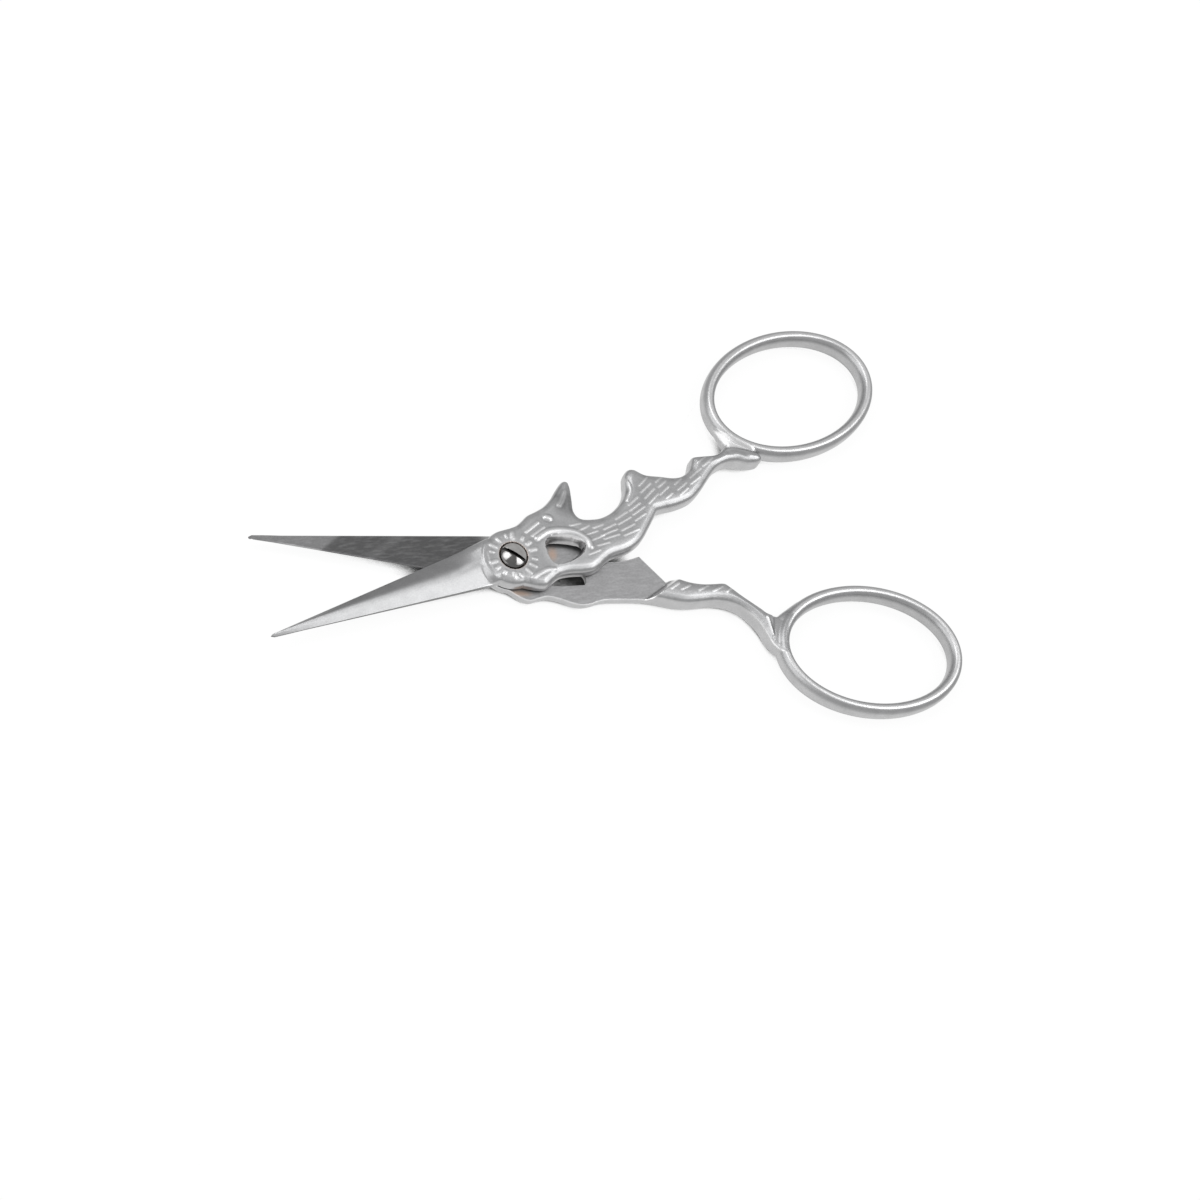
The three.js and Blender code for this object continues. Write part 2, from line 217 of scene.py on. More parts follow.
REAR_MOUTH: Pairs = [
    (4.75, -2.55), (5.35, -3.25), (6.95, -3.5), (8.5, -3.3), (9.6, -3.12), (10.6, -3.0), (11.1, -2.6),
    (11.2, -1.6), (10.8, -0.5), (9.5, 0.1), (7.9, 0.75), (6.45, 0.95), (5.45, 0.65), (4.95, -0.1),
    (4.7, -1.4),
]
BELLY_LINE: Pairs = [(19.6, -3.2), (22.9, -0.6)]
PLATE_LINE: Pairs = [(18.6, 2.35), (22.2, -1.3)]
PAW_TOP: Pairs = [
    (36.75, 4.8), (37.4, 4.95), (38.2, 4.8), (39.0, 4.4), (39.9, 3.85), (40.9, 3.2), (41.6, 2.6),
    (41.7, 2.0),
]
REAR_TOE: Pairs = [
    (36.2, -5.3), (37.0, -5.65), (37.3, -6.4), (37.2, -7.6), (37.1, -8.6), (36.95, -9.3), (36.5, -9.9),
]

# Where the shanks spread onto the rings: angles round each ring, and millimetres outside its middle line
FRONT_WEB: Pairs = [(202.5, 1.85), (195.5, 1.4), (187.0, 1.0), (178.0, 0.8)]
REAR_WEB: Pairs = [(153.0, 1.4), (147.5, 1.15), (138.0, 1.0), (131.0, 0.8)]
FRONT_RING_ANGLES = (181, 190, 198, 205, 212, 218)
REAR_RING_ANGLES = (134, 142, 150, 160, 170, 180, 188, 196)


class Face(Enum):
    """Which way a half's outer face looks."""

    UP = 1
    DOWN = -1


class Region(Enum):
    """Material slots of a steel half, in order."""

    SATIN = 0
    GROUND = 1


def smoothstep(low: float, high: float, values: np.ndarray) -> np.ndarray:
    """A smooth rise from 0 at low to 1 at high."""
    share = np.clip((values - low) / (high - low), 0.0, 1.0)
    return share * share * (3 - 2 * share)


def soft_max(first: np.ndarray, second: np.ndarray, reach: np.ndarray | float) -> np.ndarray:
    """The larger of two heights, with a fillet of about the given reach."""
    return reach * np.logaddexp(first / reach, second / reach)


def bump(distance: np.ndarray, reach: float) -> np.ndarray:
    """A rounded bump: 1 at no distance, 0 at the reach and beyond."""
    return np.clip(1 - (distance / reach) ** 2, 0.0, 1.0) ** 2


def resampled(line: np.ndarray, step: float) -> np.ndarray:
    """Points at even steps along a line, with both its ends.

    Args:
        line: places along the line.
        step: spacing of the result.

    Returns:
        An array of places, the first and last of which are those of the line.
    """
    lengths = np.hypot(*np.diff(line, axis=0).T)
    along = np.concatenate([[0.0], np.cumsum(lengths)])
    places = np.linspace(0.0, along[-1], max(2, round(along[-1] / step) + 1))
    return np.column_stack([np.interp(places, along, line[:, axis]) for axis in (0, 1)])


def smooth_line(points: Pairs, step: float = OUTLINE_STEP, closed: bool = False) -> np.ndarray:
    """A smooth curve through the points, at even steps.

    Args:
        points: places that the curve passes through, in millimetres.
        step: spacing of the result.
        closed: whether the last point runs on into the first.

    Returns:
        An array of places; a closed curve ends where it starts.
    """
    knots = np.array(points, float)
    if closed:
        knots = np.vstack([knots[-1], knots, knots[:2]])
    else:
        knots = np.vstack([2 * knots[0] - knots[1], knots, 2 * knots[-1] - knots[-2]])
    share = np.linspace(0.0, 1.0, CURVE_STEPS, endpoint=False)[:, None]
    pieces = []
    for before, start, end, after in zip(knots, knots[1:], knots[2:], knots[3:]):
        linear = (end - before) * share
        square = (2 * before - 5 * start + 4 * end - after) * share**2
        cube = (3 * start - before - 3 * end + after) * share**3
        pieces.append(start + (linear + square + cube) / 2)
    pieces.append(knots[-2:-1])
    return resampled(np.vstack(pieces), step)


def distance_to(places: np.ndarray, line: np.ndarray) -> np.ndarray:
    """Distance from each place to the nearest part of a line.

    Args:
        places: places to measure from.
        line: places along the line.

    Returns:
        One distance for each place.
    """
    start, way = line[:-1], np.diff(line, axis=0)
    length = np.maximum((way**2).sum(axis=1), TINY)
    nearest = []
    for chunk in np.array_split(places, max(1, len(places) * len(start) // CHUNK_PAIRS)):
        offset = chunk[:, None, :] - start
        share = np.clip((offset * way).sum(axis=2) / length, 0.0, 1.0)
        nearest.append(np.linalg.norm(offset - share[..., None] * way, axis=2).min(axis=1))
    return np.concatenate(nearest)


def inside(places: np.ndarray, loop: np.ndarray) -> np.ndarray:
    """Whether each place lies inside a closed loop.

    Args:
        places: places to test.
        loop: a line that ends where it starts.

    Returns:
        True for each place inside the loop.
    """
    (x0, y0), (x1, y1) = loop[:-1].T, loop[1:].T
    found = []
    for chunk in np.array_split(places, max(1, len(places) * len(loop) // CHUNK_PAIRS)):
        x, y = chunk[:, :1], chunk[:, 1:]
        spans = (y0 > y) != (y1 > y)
        rise = np.where(y1 == y0, TINY, y1 - y0)
        crossing = x < (x1 - x0) * (y - y0) / rise + x0
        found.append((spans & crossing).sum(axis=1) % 2 == 1)
    return np.concatenate(found)


def arc(radius: float, start: float, end: float, step: float = OUTLINE_STEP) -> np.ndarray:
    """Places on a circle round the pivot.

    Args:
        radius: in millimetres.
        start: first angle, in degrees.
        end: last angle, in degrees.
        step: spacing of the places.

    Returns:
        An array of places.
    """
    count = max(2, round(abs(math.radians(end - start)) * radius / step) + 1)
    turn = np.radians(np.linspace(start, end, count))
    return radius * np.column_stack([np.cos(turn), np.sin(turn)])


def circle(radius: float, step: float) -> np.ndarray:
    """Places round the pivot, up to the last degree before the first place."""
    return arc(radius, 0, 359, step)


def closed_loop(*lines: np.ndarray) -> np.ndarray:
    """One closed loop, without double points or long steps, of lines that follow each other.

    Args:
        lines: places along each line.

    Returns:
        The loop, which ends close to where it starts.
    """
    joined = []
    for line, following in zip(lines, (*lines[1:], lines[0])):
        joined += [line, resampled(np.vstack([line[-1], following[0]]), OUTLINE_STEP)]
    loop = np.vstack(joined)
    keep = np.concatenate([[True], np.hypot(*np.diff(loop, axis=0).T) > DOUBLE_POINT])
    return loop[keep]


def inward(loop: np.ndarray, distance: float) -> np.ndarray:
    """A clockwise loop's points moved inside it, without those that come too near another stretch.

    Args:
        loop: a clockwise loop.
        distance: how far its points move.

    Returns:
        The points that are left, in order.
    """
    tangent = np.roll(loop[:-1], -1, axis=0) - np.roll(loop[:-1], 1, axis=0)
    normal = np.column_stack([tangent[:, 1], -tangent[:, 0]])
    moved = loop[:-1] + distance * normal / np.linalg.norm(normal, axis=1)[:, None]
    return moved[distance_to(moved, loop) > INWARD_KEPT * distance]


def staggered_grid(low: Pair, high: Pair, step: float) -> np.ndarray:
    """A grid of places in rows, each row half a step along from the last.

    Args:
        low: the smallest x and y.
        high: the largest x and y.
        step: spacing in a row.

    Returns:
        An array of places.
    """
    rows = np.arange(low[1], high[1], step * math.sqrt(0.75))
    columns = np.arange(low[0], high[0], step)
    shift = (np.arange(len(rows)) % 2)[:, None] * step / 2
    x = columns[None, :] + shift
    return np.column_stack([x.ravel(), np.repeat(rows, len(columns))])


def triangulated(loops: list[np.ndarray], extra: np.ndarray) -> tuple[np.ndarray, np.ndarray]:
    """Triangles over closed loops and loose places, each anticlockwise from above.

    Args:
        loops: closed loops, each without its last point.
        extra: loose places.

    Returns:
        Places, and the numbers of three of them for each triangle.
    """
    edges, first = [], 0
    for loop in loops:
        numbers = np.arange(len(loop))
        edges += (np.column_stack([numbers, np.roll(numbers, -1)]) + first).tolist()
        first += len(loop)
    points = [Vector(place) for place in np.vstack([*loops, extra])]
    made = delaunay_2d_cdt(points, edges, [], 0, WELD_DISTANCE, False)
    places = np.array([tuple(point) for point in made[0]])
    triangles = np.array(made[2])
    a, b, c = (places[triangles[:, corner]] for corner in range(3))
    turn = np.cross(b - a, c - a)
    triangles[turn < 0] = triangles[turn < 0][:, ::-1]
    return places, triangles


def rim_edges(triangles: np.ndarray) -> np.ndarray:
    """Edges that only one triangle has, in that triangle's direction.

    Args:
        triangles: three numbers for each triangle.

    Returns:
        Two numbers for each edge.
    """
    edges = np.vstack([triangles[:, [0, 1]], triangles[:, [1, 2]], triangles[:, [2, 0]]])
    _, index, count = np.unique(np.sort(edges, axis=1), axis=0, return_index=True, return_counts=True)
    return edges[index[count == 1]]


@dataclass(frozen=True)
class Patch:
    """An oval patch of paint that fades out towards its rim.

    Attributes:
        centre: its middle.
        reach: how far it spreads along X and Y.
    """

    centre: Pair
    reach: Pair

    def share(self, places: np.ndarray) -> np.ndarray:
        """1 in the middle of the patch, 0 at its rim and beyond."""
        return bump(np.hypot(*((places - self.centre) / self.reach).T), 1.0)


@dataclass(frozen=True)
class Stroke:
    """A raised line of the chasing, with a shallow groove on each side.

    Attributes:
        points: places that it passes through.
        width: its width in millimetres.
        height: how far it stands up; below 0 it is cut in.
        polish: how bright handling has rubbed it, from 0 to 1.
    """

    points: tuple[Pair, ...]
    width: float = HAIR_WIDTH
    height: float = HAIR_HEIGHT
    polish: float = 0.2

    def line(self) -> np.ndarray:
        """The stroke's middle line.

        Returns:
            An array of places.
        """
        if len(self.points) == 2:
            return np.array(self.points, float)
        return smooth_line(list(self.points))


@dataclass
class Relief:
    """All the chasing on one face of a half.

    Attributes:
        strokes: its strokes.
        crest_share: width of a stroke's crest, as a share of the stroke's.
        groove_depth: depth of the grooves beside it, as a share of its height.
    """

    strokes: list[Stroke]
    crest_share: float = 0.6
    groove_depth: float = 0.3

    def measure(self, places: np.ndarray) -> tuple[np.ndarray, np.ndarray]:
        """How high and how polished the chasing is.

        Args:
            places: plan places, in millimetres.

        Returns:
            Heights in millimetres and polish from 0 to 1, one of each for every place.
        """
        height = np.zeros(len(places))
        polish = np.zeros(len(places))
        for stroke in self.strokes:
            line = stroke.line()
            reach = stroke.width
            low, high = line.min(axis=0) - reach, line.max(axis=0) + reach
            near = np.flatnonzero(((places > low) & (places < high)).all(axis=1))
            if not len(near):
                continue
            distance = distance_to(places[near], line)
            raised = bump(distance, self.crest_share * stroke.width)
            groove = bump(distance, reach)
            height[near] += stroke.height * ((1 + self.groove_depth) * raised - self.groove_depth * groove)
            polish[near] = np.maximum(polish[near], stroke.polish * raised)
        return height, polish


def petals(count: int, start: float, low: float, high: float) -> list[Stroke]:
    """Short radial petals round the pivot, a little uneven as punched by hand.

    Args:
        count: how many.
        start: angle of the first, in degrees.
        low: inner radius.
        high: outer radius.

    Returns:
        One stroke for each petal.
    """
    strokes = []
    for index in range(count):
        wobble = math.sin(WOBBLE_STEP * index + WOBBLE_START)
        turn = math.radians(start + 360 * index / count + WOBBLE_TURN * wobble)
        reach = (low - WOBBLE_INWARD * wobble, high + WOBBLE_OUTWARD * wobble)
        ends = [(radius * math.cos(turn), radius * math.sin(turn)) for radius in reach]
        width = PETAL_WIDTH + WOBBLE_WIDTH * wobble
        strokes.append(Stroke(tuple(ends), width, PETAL_HEIGHT, PETAL_POLISH))
    return strokes


def hairs(*ends: tuple[float, float, float, float], width: float = HAIR_WIDTH,
          height: float = HAIR_HEIGHT) -> list[Stroke]:
    """Straight strokes, each from one x and y to another."""
    return [Stroke(((a, b), (c, d)), width, height) for a, b, c, d in ends]


@dataclass
class SteelMesh:
    """A steel piece while it is put together.

    Attributes:
        vertices: blocks of places, in millimetres.
        faces: the vertex numbers of each face.
        regions: the material slot of each face.
        polish: how bright each vertex is, from rubbing and from painted highlights and reflections, in
            blocks.
        tone: how pale each vertex is, with painted shade among it, in blocks.
        stain: how much oil has dried on each vertex, in blocks.
    """

    vertices: list[np.ndarray] = field(default_factory=list)
    faces: list[list[int]] = field(default_factory=list)
    regions: list[int] = field(default_factory=list)
    polish: list[np.ndarray] = field(default_factory=list)
    tone: list[np.ndarray] = field(default_factory=list)
    stain: list[np.ndarray] = field(default_factory=list)

    def count(self) -> int:
        """Vertices so far."""
        return sum(len(block) for block in self.vertices)

    def add_vertices(self, places: np.ndarray, polish: np.ndarray, tone: np.ndarray,
                     stain: np.ndarray) -> int:
        """Adds a block of vertices with its paint.

        Args:
            places: in millimetres.
            polish: one value for each place.
            tone: one value for each place.
            stain: one value for each place.

        Returns:
            The first new vertex's number.
        """
        first = self.count()
        self.vertices.append(places)
        self.polish.append(polish)
        self.tone.append(tone)
        self.stain.append(stain)
        return first

    def add_faces(self, faces: np.ndarray, regions: np.ndarray | int) -> None:
        """Adds faces with their material regions."""
        self.faces.extend(faces.tolist())
        self.regions.extend(np.broadcast_to(regions, len(faces)).tolist())

    def to_object(self, name: str, turn: float, materials: list[bpy.types.Material],
                  sharp_angle: float = 38.0) -> bpy.types.Object:
        """Makes the Blender object, turned about the pivot and set on the joint's place.

        Args:
            name: the piece's name.
            turn: resting angle about the pivot, in degrees.
            materials: one material for each region.
            sharp_angle: edges bent more than this stay crisp, in degrees.

        Returns:
            The new object, linked to the scene.
        """
        pivot = Matrix.Translation(Vector(frame["joints"][0]["pos_m"]))
        place = np.array(pivot @ Matrix.Rotation(math.radians(turn), 4, "Z") @ Matrix.Scale(MILLIMETRE, 4))
        points = np.vstack(self.vertices) @ place[:3, :3].T + place[:3, 3]
        mesh = bpy.data.meshes.new(name)
        mesh.from_pydata(points.tolist(), [], self.faces)
        mesh.polygons.foreach_set("material_index", self.regions)
        mesh.polygons.foreach_set("use_smooth", np.ones(len(self.faces), bool))
        for label, blocks in (("polish", self.polish), ("tone", self.tone), ("stain", self.stain)):
            attribute = mesh.attributes.new(label, "FLOAT", "POINT")
            attribute.data.foreach_set("value", np.concatenate(blocks).astype(np.float32))
        for material in materials:
            mesh.materials.append(material)
        mesh.set_sharp_from_angle(angle=math.radians(sharp_angle))
        mesh.validate()
        piece = bpy.data.objects.new(name, mesh)
        bpy.context.scene.collection.objects.link(piece)
        return piece


@dataclass
class FingerRing:
    """An oval bar bent round an oval, rising to a soft crest above and below.

    Attributes:
        side: +1 for the front half's ring, -1 for the rear half's.
        crest: share of the bar's width at which the crest's painted highlight starts and is full.
        wall: share of the bar's height at which the wall's painted sheen starts and is full.
        crest_highlight: how much paler the crest is painted, a painted highlight.
        shoulder: share of the bar's height at which the shoulder's painted highlight lies.
        shoulder_reach: how far the shoulder spreads from there.
        shoulder_highlight: how much paler that painted highlight makes it.
        inner_wall: share of the bar's width at which the painted shade on the wall inside the ring starts
            and is full.
        inner_shade: how much darker that painted shade makes the wall.
        reach: distance of the ring's middle from the pivot, along the half.
        offset: distance of its middle from the line of the closed blades.
        length: of the middle line's oval.
        width: of the middle line's oval.
        bar_width: width of the bar.
        bar_height: height of the bar.
        squareness: 1 for an oval section, and less for a squarer one.
        steps: facets round the ring.
        section_steps: facets round the bar.
        line_places: places along the middle line from which distances are measured.
    """

    side: int
    crest: Pair = (0.5, 0.2)
    wall: Pair = (0.85, 0.3)
    crest_highlight: float = 0.27
    shoulder: float = 0.82
    shoulder_reach: float = 0.18
    shoulder_highlight: float = 0.06
    inner_wall: Pair = (0.2, 0.8)
    inner_shade: float = 0.05
    reach: float = 51.1
    offset: float = 9.87
    length: float = 25.66
    width: float = 17.76
    bar_width: float = 1.8
    bar_height: float = 3.1
    squareness: float = 0.84
    steps: int = 260
    section_steps: int = 36
    line_places: int = 181

    def place(self, angle: np.ndarray, beyond: np.ndarray) -> np.ndarray:
        """Places on the ring's middle line, or so far outside it.

        Args:
            angle: angles round the ring, in degrees.
            beyond: millimetres outside the middle line.

        Returns:
            One place for each angle.
        """
        cos, sin = np.cos(np.radians(angle)), np.sin(np.radians(angle))
        outward = np.column_stack([self.width * cos, self.length * sin])
        outward /= np.linalg.norm(outward, axis=1)[:, None]
        x = self.reach + self.length / 2 * cos
        y = self.side * self.offset + self.width / 2 * sin
        return np.column_stack([x, y]) + np.asarray(beyond).reshape(-1, 1) * outward

    def shank_end(self, web: Pairs, angles: tuple[int, ...]) -> np.ndarray:
        """A shank's end: out along the ring as a web, then back under the ring's bar.

        Args:
            web: angles round the ring, each with millimetres outside the middle line.
            angles: angles at which the shank ends under the bar.

        Returns:
            Places along the end.
        """
        turns, beyond = np.array(web).T
        out = smooth_line([tuple(place) for place in self.place(turns, beyond)])
        back = self.place(np.array(angles), np.full(len(angles), -self.bar_width / 4))
        return np.vstack([out, resampled(back, OUTLINE_STEP)])

    def section(self, places: np.ndarray) -> tuple[np.ndarray, np.ndarray]:
        """The bar's section at places on it and round it.

        Args:
            places: plan places, in millimetres.

        Returns:
            Distances from the ring's middle line, and the bar's heights.
        """
        turns = np.linspace(0, 360, self.line_places)
        off = distance_to(places, self.place(turns, 0 * turns))
        square = 2 / self.squareness
        share = np.clip(1 - (2 * off / self.bar_width) ** square, 0.0, 1.0) ** (1 / square)
        return off, self.bar_height / 2 * share

    def squared(self, wave: np.ndarray) -> np.ndarray:
        """A sine or cosine that draws the bar's squarish section."""
        return np.sign(wave) * np.abs(wave) ** self.squareness

    def add_to(self, mesh: SteelMesh) -> None:
        """Adds the ring to a half's mesh.

        Args:
            mesh: the half's mesh.
        """
        around, across = np.meshgrid(np.arange(self.steps), np.arange(self.section_steps), indexing="ij")
        section = 2 * np.pi * across.ravel() / self.section_steps
        angle = 360 * around.ravel() / self.steps
        out, up = self.squared(np.cos(section)), self.squared(np.sin(section))
        place = self.place(angle, self.bar_width / 2 * out)
        height = self.bar_height / 2 * up
        # Painted sheen on the bar's walls, painted highlights on its crest and shoulders, and painted shade
        # inside the ring
        polish = WALL_PAINTED_SHEEN * smoothstep(*self.wall, np.abs(up))
        polish += self.crest_highlight * smoothstep(*self.crest, np.abs(out))
        shoulder = bump(np.abs(up) - self.shoulder, self.shoulder_reach)
        inner = smoothstep(*self.inner_wall, -out) * (1 - shoulder)
        tone = PLAIN_TONE + self.shoulder_highlight * shoulder - self.inner_shade * inner
        first = mesh.add_vertices(np.column_stack([place, height]), polish, tone, np.zeros(len(angle)))
        next_around = (around + 1) % self.steps
        next_across = (across + 1) % self.section_steps
        near = [(around, across), (next_around, across)]
        far = [(next_around, next_across), (around, next_across)]
        quads = np.column_stack([(i * self.section_steps + j).ravel() for i, j in near + far]) + first
        mesh.add_faces(quads, Region.SATIN.value)


@dataclass
class Blade:
    """A straight, tapering blade with a ridge along its outer face, and the collar that it grows from.

    Attributes:
        edge: +1 where the cutting edge is the upper side, -1 where it is the lower.
        tip_x: where the tip is.
        tip_blunt: how far behind the tip its rounding starts.
        tip_width: width that the sides taper to.
        tip_y: the tip's side place.
        tip_ridge: height of the ridge at the tip.
        root_x: where the blade starts.
        root_width: width there.
        root_y: the middle's side place there.
        root_ridge: height of the ridge there.
        end_x: where the sides end, inside the collar.
        run_on: how far past its root the blade keeps rising, as a share of it.
        least_half: least half width that places across it are measured by.
        spine: height of the spine at the root.
        thickness: thickness left at the cutting edge.
        ridge_round: how round the ridge is, as a share of its height.
        ridge_shift: how far the ridge nears the cutting edge at the tip.
        step: spacing of places along its sides.
        collar_radius: radius of the collar.
        collar_top: angle at which the collar's top ends, in degrees.
        collar_base: angle at which the collar's base starts, in degrees.
        heel_reach: how far before the collar the spine steps up to it.
        heel_start_x: where the cutting side starts to rise to the collar.
        heel_end_x: where that rise ends.
        heel_blend: where across the blade the short step turns into the long rise.
        facet_pale: how much paler the facet by the spine is painted, a painted highlight.
        facet_tip_pale: how much more so at the tip.
        facet_dark: how much darker the facet by the cutting edge is painted, a painted shade.
        facet_blend: where across the blade the one turns into the other.
    """

    edge: int
    tip_x: float = -35.6
    tip_blunt: float = 0.4
    tip_width: float = 0.4
    tip_y: float = 1.0
    tip_ridge: float = 0.55
    root_x: float = -4.0
    root_width: float = 6.3
    root_y: float = 0.5
    root_ridge: float = 1.75
    end_x: float = -0.5
    run_on: float = -0.2
    least_half: float = 0.05
    spine: float = 0.9
    thickness: float = 0.12
    ridge_round: float = 0.2
    ridge_shift: float = 0.55
    step: float = 0.3
    collar_radius: float = 4.2
    collar_top: int = 84
    collar_base: int = 266
    heel_reach: float = 0.8
    heel_start_x: float = -9.5
    heel_end_x: float = -2.0
    heel_blend: Pair = (-0.5, 0.2)
    facet_pale: float = 0.14
    facet_tip_pale: float = 0.09
    facet_dark: float = 0.12
    facet_blend: Pair = (-0.25, 0.35)

    def outline(self) -> list[np.ndarray]:
        """The part of the outline on the far side of the pivot.

        Returns:
            Lines from the throat round the collar, along the blade and back to the collar's top.
        """
        ends = np.array([self.tip_x + self.tip_blunt, self.end_x])
        top, base = (self.trim(np.column_stack([ends, side])) for side in self.sides(ends))
        start = math.degrees(math.atan2(*top[-1][::-1]))
        end = math.degrees(math.atan2(*base[-1][::-1])) % 360
        tip = np.array([(self.tip_x, self.tip_y)])
        lower_collar = arc(self.collar_radius, self.collar_base, end)
        return [lower_collar, base[::-1], tip, top, arc(self.collar_radius, start, self.collar_top)]

    def trim(self, line: np.ndarray) -> np.ndarray:
        """A blade's side from its tip, cut where it meets the collar."""
        fine = resampled(line, self.step)
        return fine[np.hypot(*fine.T) > self.collar_radius]

    def share(self, x: np.ndarray) -> np.ndarray:
        """How far along the blade a place is: 0 at the root, 1 at the tip."""
        return (x - self.root_x) / (self.tip_x - self.root_x)

    def sides(self, x: np.ndarray) -> tuple[np.ndarray, np.ndarray]:
        """The blade's upper and lower sides in plan.

        Args:
            x: places along the blade.

        Returns:
            The y of each side at each place.
        """
        share = self.share(x)
        middle = self.root_y + (self.tip_y - self.root_y) * share
        half = (self.root_width + (self.tip_width - self.root_width) * share) / 2
        return middle + half, middle - half

    def height(self, places: np.ndarray) -> np.ndarray:
        """The blade's outer face: a ground facet to the cutting edge and another to the spine.

        Args:
            places: plan places, in millimetres.

        Returns:
            Heights in millimetres.
        """
        share = np.clip(self.share(places[:, 0]), self.run_on, 1.0)
        from_ridge = self.across(places)
        ridge = self.root_ridge + (self.tip_ridge - self.root_ridge) * share
        spine = ridge * self.spine / self.root_ridge
        cutting = ridge + (self.thickness - ridge) * from_ridge
        backing = ridge + (ridge - spine) * from_ridge
        return INNER_LEVEL - soft_max(-cutting, -backing, self.ridge_round * ridge)

    def across(self, places: np.ndarray) -> np.ndarray:
        """Where places lie across the blade.

        Args:
            places: plan places, in millimetres.

        Returns:
            1 at the cutting edge, 0 on the ridge, -1 at the spine.
        """
        x, y = places.T
        upper, lower = self.sides(x)
        half = np.maximum((upper - lower) / 2, self.least_half)
        across = self.edge * (y - (upper + lower) / 2) / half
        ridge = self.ridge_shift * np.clip(self.share(x), 0.0, 1.0) ** 2
        return np.where(across > ridge, (across - ridge) / (1 - ridge), (across - ridge) / (1 + ridge))

    def collar_flow(self, places: np.ndarray) -> np.ndarray:
        """How the blade flows into the collar: slowly behind the cutting edge, quickly by the spine.

        Args:
            places: plan places, in millimetres.

        Returns:
            0 on the blade, 1 on the collar and beyond it.
        """
        x = places[:, 0]
        short = smoothstep(self.collar_radius + self.heel_reach, self.collar_radius, np.hypot(*places.T))
        short = np.maximum(short, smoothstep(self.heel_end_x - self.heel_reach, self.heel_end_x, x))
        long = np.maximum(short, smoothstep(self.heel_start_x, self.heel_end_x, x))
        return short + (long - short) * smoothstep(*self.heel_blend, self.across(places))

    def facet_shade(self, places: np.ndarray) -> np.ndarray:
        """A painted shade on the facet behind the cutting edge, and a painted highlight on the one by the
        spine.

        Args:
            places: plan places, in millimetres.

        Returns:
            How much to take off the tone at each place.
        """
        pale = self.facet_pale + self.facet_tip_pale * np.clip(self.share(places[:, 0]), 0.0, 1.0)
        dark = (pale + self.facet_dark) * smoothstep(*self.facet_blend, self.across(places)) - pale
        return dark * (1 - self.collar_flow(places))


